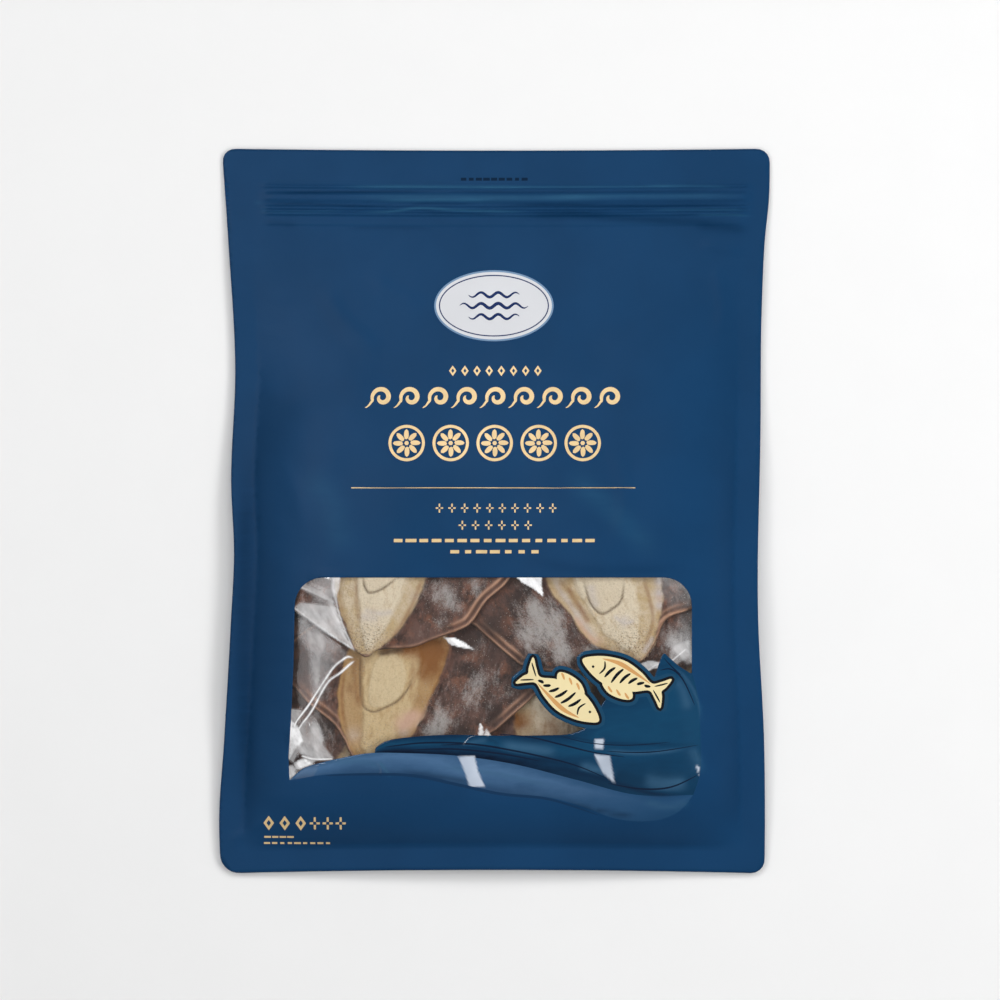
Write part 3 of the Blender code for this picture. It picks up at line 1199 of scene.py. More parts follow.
WAVE_STROKES = (
    (((-56, -120.1), (-38.1, -118), (-17.6, -118), (2.8, -120.1)), 0.9),
    (((-50, -122), (-22.7, -121), (2.8, -123.4), (23.3, -127.2)), 0.9),
    (((57, -122.1), (70, -122.8), (84, -122.2), (104.3, -119)), 0.6),
    (((57.5, -138.5), (74.4, -141.4), (89.7, -140.5), (103.5, -134.4)), 0.9),
    (((84, -81), (90, -80.5), (96, -86), (102, -99)), 0.8), (((86, -74.6), (90, -79), (95, -83.5)), 0.6),
    (((1.3, -113.4), (18.1, -115), (33.5, -118.6), (49.8, -122.6), (66.7, -125.2)), 0.8),
    (((-27.8, -119.1), (-12.5, -118.6), (2.8, -120.6), (23.3, -124.7), (41.1, -129.3), (57, -135.9)), 0.9),
    (((33.5, -114.5), (48.8, -118), (69.2, -119.1), (89.7, -117.5)), 0.5),
)
FOOT_STROKE = (
    (-86, -134.6), (-66, -133.9), (-42.2, -134.4), (-19.7, -138.9), (2.8, -143.8), (27.8, -146.7),
    (53, -155),
)


@dataclass(frozen=True)
class FrontPrint:
    """The fields of colour on the front, as closed loops of plan points."""

    badge_place: tuple[float, float] = (-0.3, 104.8)
    badge_size: tuple[float, float] = (30.5, 18.2)

    def gloss(self) -> Array:
        """The outline of the glossy field."""
        top, radius, left, right = GLOSS_TOP
        corners = [
            arc((middle, top - radius), radius, start, -90.0)
            for middle, start in ((left + radius, 180.0), (right - radius, 90.0))
        ]
        return mm(np.vstack([GLOSS_LEFT, *corners, GLOSS_FOOT]))

    def waves(self) -> list[tuple[Array, Ink]]:
        """The two bands of the wave and the dark strokes on them."""
        head = curve_through(mm(CREST_HEAD))
        foot = curve_through(mm(CREST_FOOT))
        deep_head = curve_through(mm(DEEP_HEAD))
        side = curve_through(mm((*DEEP_SIDE, CREST_FOOT[-1])))
        under_head = beside(head, -1.5 * MM)
        deep_foot = under_head[under_head[:, 0] > DEEP_HEAD[0][0] * MM][::-1]
        fields = [
            (np.vstack([deep_head, side[1:], deep_foot[1:]]), Ink.WAVE_DEEP),
            (np.vstack([head, foot[-2:0:-1]]), Ink.WAVE_CREST),
        ]
        strokes = [(brush_stroke(mm(path), width * MM), Ink.WAVE_LINE) for path, width in WAVE_STROKES]
        shade = (brush_stroke(mm(FOOT_STROKE), 1.8 * MM), Ink.WAVE_SHADE)
        return [shade, *fields, *strokes]

    def badge(self) -> list[tuple[Array, Ink]]:
        """A white oval badge with a thin inner line and three small waves."""
        half = np.array(self.badge_size)
        layers = ((0.0, Ink.BADGE_RIM), (0.9, Ink.BADGE), (2.4, Ink.NAVY), (3.0, Ink.BADGE))
        fields = [(mm(self.badge_place + ring(72) * (half - inset)), ink) for inset, ink in layers]
        for row, (count, width) in enumerate(((3, 1.5), (4, 1.7), (3, 1.5))):
            across = np.linspace(-count * 4.4, count * 4.4, count * 8 + 1)
            wave = np.column_stack([across, 1.25 * np.sin(across / 8.8 * 2.0 * math.pi) + 5.6 * (1 - row)])
            fields.append((brush_stroke(mm(wave + self.badge_place), width * MM, steps=2), Ink.NAVY))
        return fields

    def fish(self, length: float, degrees: float, place: tuple[float, float]) -> list[tuple[Array, Ink]]:
        """A plain striped fish, whose parts are given in shares of its length.

        Args:
            length: Nose to tail, in millimetres.
            degrees: How far it is turned anticlockwise from facing +X.
            place: Where its middle is, in millimetres.

        Returns:
            Its fields, the lowest first.
        """
        back = ((0.50, 0.0), (0.40, 0.085), (0.24, 0.15), (0.04, 0.175), (-0.16, 0.12), (-0.31, 0.045))
        fin = ((-0.40, 0.10), (-0.50, 0.185), (-0.475, 0.06), (-0.445, 0.0))
        belly = tuple((x, -y * 0.92) for x, y in (back + fin[:3])[:0:-1])
        crest = ((0.20, 0.15), (0.10, 0.235), (-0.06, 0.245), (-0.17, 0.20), (-0.12, 0.11), (0.04, 0.10))
        shade = ((0.3, -0.09), (0.1, -0.135), (-0.12, -0.09), (-0.3, -0.03), (-0.1, -0.06), (0.12, -0.09))
        body, crest, shade = (
            curve_through(np.array(points), closed=True) for points in (back + fin + belly, crest, shade)
        )
        body = spaced(body, 0.012, closed=True)
        around = spaced(curve_through(body[::5], closed=True), 0.03, closed=True)
        fields = [
            (self.grown(around, 3.2 / length), Ink.HALO),
            (self.grown(crest, 3.2 / length), Ink.HALO),
            (self.grown(body, 1.4 / length), Ink.BLACK),
            (self.grown(crest, 1.4 / length), Ink.BLACK),
            (crest, Ink.CREAM),
            (body, Ink.CREAM),
            (shade, Ink.AMBER),
        ]
        strokes = []
        for x in (0.13, 0.03, -0.07):
            strokes.append((((x, 0.165), (x - 0.045, 0.20), (x - 0.075, 0.215)), 0.026, Ink.AMBER))
        for x in (0.17, 0.08, -0.01, -0.10, -0.19, -0.27):
            tall = 0.125 - 0.34 * abs(x - 0.08)
            strokes.append((((x + 0.03, tall), (x, 0.01), (x - 0.045, -tall * 0.6)), 0.034, Ink.BLACK))
        strokes.append((((0.27, 0.085), (0.235, 0.0), (0.265, -0.08)), 0.022, Ink.BLACK))
        for tip in (0.10, -0.09):
            ray = ((-0.35, tip * 0.2), (-0.42, tip * 0.75), (-0.48, tip * 1.25))
            strokes.append((ray, 0.018, Ink.BLACK))
        fields += [(brush_stroke(np.array(stroke), width), ink) for stroke, width, ink in strokes]
        fields.append((ring(14) * 0.017 + (0.36, 0.03), Ink.BLACK))
        return [(mm(turned(loop * length, degrees, place)), ink) for loop, ink in fields]

    @staticmethod
    def grown(loop: Array, gap: float) -> Array:
        """A closed loop moved outwards all round."""
        after, before = np.roll(loop, -1, axis=0), np.roll(loop, 1, axis=0)
        area = np.sum(loop[:, 0] * after[:, 1] - after[:, 0] * loop[:, 1])
        return loop - leftwards(after - before) * np.sign(area) * gap

    def fields(self, gap: float) -> list[tuple[Array, Ink]]:
        """Every field of the front over the matt ground, the lowest first.

        Args:
            gap: About how far apart the points of each outline are.

        Returns:
            Closed loops of plan points, each with its ink.
        """
        fields = [
            (self.gloss(), Ink.CLEAR),
            *self.waves(),
            *self.badge(),
            *self.fish(FISH_LENGTH, -34.0, (34.0, -94.0)),
            *self.fish(FISH_LENGTH, 158.0, (66.0, -84.0)),
        ]
        return [(spaced(loop, gap, closed=True), ink) for loop, ink in fields]


CREASES = (
    # Round the left end of the window
    Crease(((-78, -30), (-80.5, -44), (-77, -58), (-70.5, -72.5)), 2, 4, 16, taper=0.14, whitening_and_glint=0.4),
    Crease(((-70.5, -71), (-85, -61.5), (-103, -48.5)), 0.8, 2, 6, taper=0.15, whitening_and_glint=0.62),
    Crease(((-81, -46.5), (-90, -42.5), (-101, -37.5)), 0.5, 2, 4.5, whitening_and_glint=0.45),
    Crease(
        (
            (-70.8, -75.1), (-74.4, -74.1), (-77.9, -76.1), (-82, -79.7), (-86.6, -86.4), (-91.2, -93.5),
            (-94.8, -99.1), (-97.9, -103.2), (-100.9, -107.3), (-103, -112.9),
        ),
        0.28, 1, 1, Fold.ROUND, 0.06, 0.92,
    ),
    Crease(
        (
            (-70.3, -75.6), (-73.8, -78.2), (-78.4, -82.3), (-84.1, -86.4), (-88.1, -92.5), (-91.2, -98.6),
            (-94.3, -103.7), (-97.9, -108.3), (-100.9, -113.4),
        ),
        0.28, 1, 1, Fold.ROUND, 0.06, 0.85,
    ),
    Crease(((-104, -108), (-101.5, -118), (-98.5, -131)), 1.2, 3.6, 5),
    Crease(((-98.5, -124.4), (-92, -126.2), (-82, -126)), 0.4, 1, 1.2, Fold.ROUND, 0.3, 0.8),
    Crease(((-96, -106), (-91, -116), (-93, -126)), 0.9, 2.2, 3.4),
    # Round the right end of the window
    Crease(
        (
            (74.4, -83.8), (78.4, -80.7), (82, -78.4), (86.6, -77.7), (90.2, -76.1), (93.8, -73.1),
            (98.4, -69.5),
        ),
        0.35, 1.2, 1.2, Fold.ROUND, 0.3, 0.6,
    ),
    Crease(((80, -62), (88, -70), (97.5, -75)), 0.6, 2, 3.4),
    Crease(((100, -52), (98.5, -66), (97, -78)), 0.9, 3, 5),
    # Down over the printed waves
    Crease(((-16.6, -121.1), (-12.5, -116), (-6.9, -113.4)), 0.5, 1.4, 1.6, Fold.ROUND),
    Crease(((-5.4, -113.4), (-0.3, -116), (4.3, -120.6)), 0.5, 1.4, 1.6, Fold.ROUND),
    Crease(((-60, -127), (-57, -131), (-58, -136)), 0.35, 1, 1.6, Fold.ROUND),
    Crease(((101, -120), (104, -128), (103, -136)), 0.5, 2, 2, Fold.ROUND),
    # Soft folds in the matt film
    Crease(((-88, 118), (-78, 98), (-56, 80)), 0.8, 7, 9, Fold.SOFT),
    Crease(((-66, 122), (-52, 112), (-34, 106)), 0.5, 6, 7, Fold.SOFT),
    Crease(((104, 137), (116, 135), (128, 132)), 0.9, 2.6, 3.4, Fold.SOFT),
    Crease(((112, 128), (117, 104), (114, 84)), 0.7, 5, 6, Fold.SOFT),
    Crease(((60, 40), (66, 8), (62, -22)), 0.5, 8, 7, Fold.SOFT),
    Crease(((-116, -156), (-128, -165), (-138, -170)), 0.8, 4, 4, Fold.SOFT),
    Crease(((-112, 30), (-100, 8), (-96, -16)), 0.5, 7, 8, Fold.SOFT),
)
# Painted highlights on the glossy print, standing for reflections of the lights, and patches of
# painted glare on the window: softness, then the corners with their strengths
PAINTED_HIGHLIGHTS = (
    (
        0.9, (-18.4, -124.8, 0.7), (-10.2, -124.6, 0.95), (-8.4, -132.4, 1), (-5, -140.2, 1),
        (-12.6, -140.4, 0.7), (-15, -133, 0.6),
    ),
    (0.9, (51, -116, 0.9), (55.6, -115.8, 1), (55.2, -121, 0.9), (51, -120.8, 0.85)),
    (1.1, (50.8, -123.8, 0.95), (58.6, -124.2, 0.6), (61, -138.4, 0.95), (55, -133, 0.75)),
    (0.8, (102.4, -129.2, 0.8), (104.4, -130.4, 0.8), (104.2, -134.8, 0.8)),
)
# Lines painted lighter and darker on the printed film: reach, strength (below 0 where the line is
# darker) and path. Most are painted highlights and painted shade; over the waves some are the
# print's own strokes.
HIGHLIGHT_SHADE_AND_INK_LINES = (
    # At the window's right end: painted glints
    (2.6, 0.6, ((90.7, -84.3), (95.8, -91.5), (98.9, -102.7))),
    (0.7, 0.6, ((88.7, -78.2), (96.8, -84.3), (103.5, -96.6), (106, -111.9))),
    # Along the zip's ridges and its left end: painted highlights and painted shade
    (0.8, 0.95, ((-84.1, 165.8), (-48.3, 165.8), (-12.5, 165.6), (25.8, 165.6))),
    (0.6, 0.65, ((-12.5, 165.6), (23.3, 165.6), (64.1, 165.8), (105, 166.1))),
    (0.7, 0.5, ((74.4, 166.1), (99.9, 166.1), (122.9, 165.6))),
    (0.9, -0.85, ((-121.9, 162.5), (-94.3, 162.8), (-63.6, 163), (-27.8, 163))),
    (0.8, -0.6, ((-48.3, 163.5), (-7.4, 163), (53.9, 163), (125.5, 163.8))),
    (1.9, 0.55, ((-84.1, 161), (-38.1, 160.5), (13, 159.9), (74.4, 161))),
    (1.4, 0.5, ((13, 160.5), (74.4, 161), (133.6, 161))),
    (0.8, 0.6, ((-63.6, 158.7), (-33, 158.9), (2.8, 158.9))),
    (0.8, -0.6, ((-121.9, 156.6), (-99.4, 156.9), (-68.7, 155.9), (-48.3, 156.4))),
    (0.6, -0.5, ((-48.3, 156.6), (-33, 157.1), (-7.4, 156.9))),
    (1.2, -0.75, ((-7.4, 156.4), (33.5, 156.4), (74.4, 155.9), (130.6, 156.9))),
    (0.8, 0.4, ((-121.9, 158.9), (-118.8, 155.3), (-118.8, 150.7))),
    (0.7, 0.85, ((-73.8, 152.5), (-53.4, 153), (-38.1, 154.8), (-17.6, 153.6), (23.3, 152.8))),
    (0.7, 0.3, ((-121.9, 152.8), (-99.4, 152.8), (-73.8, 153.3))),
    (0.6, -0.5, ((-38.1, 152.3), (-20.2, 152), (2.8, 151.3))),
    (0.6, 0.55, ((74.4, 153.8), (105, 154.1), (133.6, 153.8))),
    (0.6, 0.6, ((99.9, 151), (117.8, 151.3), (133.6, 150.7))),
    (2.2, -0.7, ((2.8, 150.2), (38.6, 151.3), (64.1, 149.7), (105, 147.7), (128, 147.7))),
    (2.4, -0.6, ((99.9, 145.6), (120.3, 144.6), (131.6, 142.6))),
    (0.9, -0.35, ((-78.9, 144.6), (-48.3, 144.6), (-27.8, 144.1))),
    (1.6, -0.35, ((-118.8, 147.7), (-109.6, 146.7), (-99.4, 145.6))),
    # Over the printed waves: partly painted sheen and glints, partly the print's own lighter and darker
    # strokes
    (2.6, 0.85, ((1.3, -117.5), (8.9, -119.6), (20.7, -121.1), (33.5, -123.2))),
    (2.4, 0.9, ((41.1, -129.3), (52.9, -131.8), (63.1, -135.4))),
    (3.6, 0.75, ((74.4, -135.4), (85.6, -138.5), (99.9, -138))),
    (2.6, 0.5, ((98.9, -119.6), (103.5, -127.2), (105, -134.9))),
    (1, 0.7, ((53.9, -121.1), (74.4, -123.2), (99.9, -120.6))),
    (1.4, 0.6, ((-17.6, -119.6), (-10, -117.5), (-2.3, -116))),
    (1.2, -0.9, ((23.3, -129.3), (53.9, -135.9), (79.5, -143.6), (99.9, -144.1))),
    (0.8, -0.7, ((-35.5, -118), (-12.5, -120.1), (18.1, -125.7), (48.8, -130.8))),
    (0.7, -0.6, ((2.8, -113.4), (33.5, -114.5), (59, -118), (105, -119.1))),
    (1.6, 0.5, ((-84.1, -128.3), (-73.8, -127.2), (-62.6, -128.3), (-55.4, -131.3))),
    (0.8, 0.8, ((-58.5, -126.2), (-56.5, -130.3), (-52.4, -135.4))),
    (1.2, 0.35, ((-33, -129.3), (2.8, -133.9), (33.5, -141.5))),
    (1.4, 0.5, ((74.4, -147.7), (88.7, -150.7), (101.9, -147.7))),
    (1.2, -0.5, ((33.5, -147.7), (53.9, -152.8), (74.4, -155.9))),
    (1.6, -0.4, ((-48.3, -133.4), (-27.8, -135.4), (-7.4, -138.5))),
    # Over the matt film: broad painted light and shade, with painted shade down the left weld
    (7, 0.25, ((-99.4, 21), (-84.1, 5.6), (-76.4, -25))),
    (5, -0.75, ((-124.9, 41.4), (-127, -4.6), (-128, -65.9), (-127, -127.2), (-124.9, -163))),
    (6, 0.3, ((33.5, 21), (53.9, 5.6), (84.6, -25))), (3, -0.3, ((13, -25), (53.9, -30.1), (99.9, -28.1))),
)
PAINTED_GLARE_PATCHES = (
    (
        2, (-99.9, -39.3, 0.1), (-94.8, -35.3, 0.04), (-88.1, -33.7, 0.07), (-82.5, -33.2, 0.24),
        (-80.5, -41.4, 0.26), (-83, -45.5, 0.22), (-91.2, -41.9, 0.2),
    ),
    (
        1.6, (-99.9, -38.3, 0.13), (-96.3, -36.8, 0.13), (-88.1, -40.9, 0.16), (-81.5, -46, 0.21),
        (-82.5, -48.5, 0.21), (-91.2, -44.5, 0.16),
    ),
    (
        1.6, (-101.4, -48.5, 0.29), (-98.9, -46.5, 0.29), (-89.2, -47.5, 0.35), (-81, -48.5, 0.37),
        (-78.4, -55.7, 0.45), (-75.9, -62.9, 0.35), (-72.3, -69.5, 0.24), (-85.1, -62.3, 0.46),
        (-93.3, -56.7, 0.4), (-99.9, -52.1, 0.35),
    ),
    (
        3, (-99.4, -53.7, 0.22), (-96.3, -54.7, 0.27), (-90.2, -59.3, 0.24), (-83.5, -64.9, 0.18),
        (-74.4, -72.1, 0.1), (-75.9, -76.1, 0.09), (-82.5, -80.2, 0.13), (-86.6, -91.5, 0.22),
        (-89.7, -95, 0.18), (-91.2, -86.4, 0.16), (-92.2, -78.2, 0.14), (-95.3, -70, 0.14),
        (-98.9, -63.9, 0.16),
    ),
    (
        2.6, (-95.3, -60.8, 0.07), (-88.1, -62.9, 0.16), (-85.6, -65.9, 0.16), (-88.7, -76.1, 0.13),
        (-89.2, -86.4, 0.22), (-91.7, -95.6, 0.2), (-93.8, -86.4, 0.13), (-93.8, -73.6, 0.11),
    ),
    (
        2.2, (-98.9, -107.8, 0.26), (-93.3, -103.2, 0.06), (-87.1, -111.4, 0.06), (-87.6, -118, 0.18),
        (-82, -125.7, 0.36), (-90.2, -126.2, 0.38), (-99.4, -123.2, 0.42),
    ),
    (
        3, (-92.7, -106.8, 0.16), (-88.7, -110.4, 0.2), (-86.6, -117, 0.2), (-90.2, -122.6, 0.16),
        (-94.3, -118, 0.1),
    ),
    (1.5, (-104, -100.7, 0.4), (-97.9, -101.2, 0.29), (-100.9, -107.8, 0.32), (-105, -110.9, 0.4)),
    (
        1.5, (-105, -109.9, 0.32), (-99.9, -110.4, 0.32), (-97.9, -117, 0.32), (-99.9, -122.6, 0.36),
        (-102.5, -128.3, 0.32), (-105.5, -125.2, 0.32),
    ),
    (
        1.4, (-101.9, -128.3, 0.6), (-97.3, -125.7, 0.45), (-90.2, -126.7, 0.35), (-95.3, -129.8, 0.5),
        (-101.4, -131.8, 0.65),
    ),
    (1, (-105.8, -130, 0.45), (-102.4, -129.4, 0.5), (-100.9, -133.6, 0.6), (-104.8, -137.4, 0.5)),
    (
        0.9, (-104.2, -106, 0.7), (-99.6, -110, 0.5), (-97.4, -117, 0.35), (-101.6, -121, 0.45),
        (-104.6, -127, 0.4),
    ),
    (0.8, (-100.4, -127.2, 0.4), (-96.3, -126.2, 0.5), (-92.2, -128.8, 0.4), (-99.4, -131.3, 0.4)),
    (
        3, (92.7, -52.6, 0.04), (100.9, -50.6, 0.07), (100.9, -77.2, 0.23), (97.9, -78.2, 0.18),
        (90.7, -70, 0.21), (85.6, -68.5, 0.09), (88.7, -59.8, 0.07),
    ),
    (
        1, (74.4, -77.7, 0.5), (78.4, -76.1, 0.5), (85.6, -77.2, 0.6), (86.6, -79.2, 0.4),
        (80.5, -80.2, 0.3), (76.9, -82.3, 0.45),
    ),
    (
        3, (82, -32.7, 0.14), (92.7, -32.7, 0.11), (101.4, -40.4, 0.15), (99.9, -48.5, 0.09),
        (90.7, -51.6, 0.04), (85.6, -45.5, 0.09), (82.5, -38.3, 0.14),
    ),
    (
        0.7, (10.5, -32.7, 0.95), (24, -32.7, 0.72), (23.8, -37.3, 0.78), (24.8, -43.4, 0.9),
        (19.7, -39.3, 0.75), (14.1, -36.3, 0.85),
    ),
    (0.5, (-8.4, -114.5, 0.2), (-7.4, -107.8, 0.95), (-6.1, -109.9, 0.9), (-5.4, -114, 0.7)),
    (0.8, (-5.4, -114.5, 0.6), (-4.3, -110.4, 0.3), (-1.8, -114.5, 0.5)),
    (
        1.4, (-82.5, -32.7, 0.4), (-78.4, -32.7, 0.66), (-78.9, -39.3, 0.55), (-81, -45.5, 0.4),
        (-82.5, -40.4, 0.36),
    ),
    (
        1.8, (-85.1, -44.5, 0.05), (-81.5, -45.5, 0.25), (-80, -51.6, 0.24), (-76.9, -59.8, 0.18),
        (-73.3, -68, 0.2), (-77.9, -62.9, 0.08), (-82.5, -53.1, 0.1),
    ),
    (
        0.6, (-25.8, -64.1, 0.6), (-20.2, -64.6, 0.95), (-15.6, -66.7, 0.95), (-10.2, -70.5, 0.5),
        (-17.4, -69.2, 0.8), (-22.2, -68, 0.5),
    ),
    (
        2, (88.7, -71, 0.1), (93.8, -67.5, 0.25), (98.9, -65.9, 0.2), (98.9, -73.6, 0.25),
        (92.7, -78.2, 0.15), (88.7, -77.2, 0.2),
    ),
)


@dataclass
class Film:
    """The pouch's two sheets of film: the printed front with its clear window, and the back."""

    form: PouchForm
    relief: FrontRelief
    artwork: FrontPrint
    # Painted glare on the window, painted highlights on the glossy print, and lines painted lighter and
    # darker: mostly painted highlights and shade, some of them print
    glare_patches: Sequence[PaintedGlarePatch]
    painted_highlights: Sequence[PaintedGlarePatch]
    streaked: Sequence[Streak]
    cell: float = 0.0024
    fine_cell: float = 0.0009
    back_cell: float = 0.0036
    zip_row_gap: float = 0.00045
    zip_column_gap: float = 0.0028
    thickness: float = 0.0002

    def rows_across(self, cell: float) -> Array:
        """Loose points over the whole film, with close rows over the zip.

        Args:
            cell: How far apart they are elsewhere.

        Returns:
            Plan points.
        """
        start, end, _ = self.form.zip_land
        top = self.form.height / 2
        low, high = top - end - 0.002, top - start + 0.002
        half = self.form.width / 2
        below = grid((-half, -top), (half, low), cell)
        above = grid((-half, high), (half, top), cell)
        columns = np.arange(-half, half, self.zip_column_gap)
        x, y = np.meshgrid(columns, np.arange(low, high, self.zip_row_gap))
        across_zip = np.column_stack([x.ravel(), y.ravel()])
        return self.form.plan(np.vstack([below, above, across_zip]))

    def weld_lines(self) -> list[tuple[Array, bool]]:
        """The line along which the front film rises from its welds."""
        half = self.form.width / 2 - self.form.side_weld
        foot = -self.form.height / 2 + self.form.bottom_weld
        top = self.form.pillow_top
        corners = np.array(((-half, top), (-half, foot), (half, foot), (half, top)))
        return [(self.form.plan(spaced(corners, self.cell, closed=False)), False)]

    def front_pieces(self, inks: dict[Ink, bpy.types.Material]) -> tuple[bpy.types.Object, bpy.types.Object]:
        """The printed front and its clear window.

        Args:
            inks: The material of each field.

        Returns:
            The printed film and the window.
        """
        edge = self.form.cut_edge(self.cell)
        fields = self.artwork.fields(self.fine_cell)
        lines = [(edge, True), *self.weld_lines()]
        lines += [(loop, True) for loop, _ in fields]
        fine_lines = [line for crease in self.relief.creases for line in crease.edges()]
        gloss = fields[0][0]
        low, high = gloss.min(axis=0) - FINE_MARGIN, gloss.max(axis=0) + FINE_MARGIN
        coarse = self.rows_across(self.cell)
        outside = ~np.all((coarse > low) & (coarse < high), axis=1)
        coarse = coarse[outside & inside(edge, coarse)]
        fine = clear_of_lines(grid(low, high, self.fine_cell), lines[2:] + fine_lines, self.fine_cell * 0.5)
        coarse = clear_of_lines(coarse, lines, self.cell * 0.4)
        places, corners = triangulate(np.vstack([coarse, fine]), lines + fine_lines)
        middles = places[corners].mean(axis=1)
        kept = inside(edge, middles)
        corners, middles = corners[kept], middles[kept]
        slots = np.full(len(corners), Ink.MATT.value)
        for loop, ink in fields:
            slots[inside(loop, middles)] = ink.value
        heights = self.relief.height(places)
        # Lines painted lighter and darker: mostly painted highlights and painted shade, some of them print
        streaked = np.clip(sum(line.over(places) for line in self.streaked), -1.0, 1.0)
        values = {
            "wave_rise": self.wave_rise(places),
            "rubbed": np.maximum(streaked, 0.0),
            "pressed": np.maximum(-streaked, 0.0),
            # Painted highlights on the glossy print
            "flash": np.clip(sum(patch.clouding(places) for patch in self.painted_highlights), 0.0, 1.0),
        }
        clear = slots == Ink.CLEAR.value
        printed = make_object(
            "printed_front_film",
            places,
            heights,
            corners[~clear],
            [inks[ink] for ink in Ink if ink is not Ink.CLEAR],
            slots[~clear],
            values,
        )
        give_thickness(printed, self.thickness, inner_slot=Ink.INNER.value)
        # Painted glare on the window, and whitening along its creases
        cloud = {"clouding": self.clouding(places)}
        window = make_object(
            "clear_window_film", places, heights, corners[clear], [inks[Ink.CLEAR]], None, cloud
        )
        return printed, window

    def clouding(self, places: Array) -> Array:
        """How much painted glare, and whitening along creases, the clear film has at each plan point."""
        cloud = sum(patch.clouding(places) for patch in self.glare_patches)
        for crease in self.relief.creases:
            if crease.whitening_and_glint:
                cloud = np.maximum(cloud, crease.clouding(places))
        return np.clip(cloud, 0.0, 0.95)

    @staticmethod
    def wave_rise(places: Array) -> Array:
        """0 to 1 up the lower band of the wave, and 1 to 2 up the upper band."""
        foot, head, deep = (
            np.interp(places[:, 0], *curve_through(mm(points)).T)
            for points in (CREST_FOOT, CREST_HEAD, DEEP_HEAD)
        )
        lower = (places[:, 1] - foot) / np.maximum(head - foot, MM)
        upper = (places[:, 1] - head) / np.maximum(deep - head, MM)
        return np.clip(lower, 0.0, 1.0) + np.clip(upper, 0.0, 1.0)

    def back_piece(self, material: bpy.types.Material) -> bpy.types.Object:
        """The back film.

        Args:
            material: Its finish.

        Returns:
            The piece.
        """
        edge = self.form.cut_edge(self.cell)
        lines = [(edge, True), *self.weld_lines()]
        loose = self.rows_across(self.back_cell)
        loose = clear_of_lines(loose[inside(edge, loose)], lines, self.back_cell * 0.3)
        places, corners = triangulate(loose, lines)
        corners = corners[inside(edge, places[corners].mean(axis=1))]
        back = make_object("back_film", places, self.form.back(places), corners[:, ::-1], [material])
        give_thickness(back, self.thickness)
        return back


def soft_spots(spots: Spots, places: Array) -> Array:
    """How strong a colour laid on in soft-edged spots is at each plan point.

    Args:
        spots: Each spot's X, Y and reach in millimetres, and its strength.
        places: Plan points.

    Returns:
        The strengths, added up.
    """
    total = np.zeros(len(places))
    for x, y, reach, strength in spots:
        total = total + strength * bell(np.linalg.norm(places - mm((x, y)), axis=1), reach * MM)
    return total


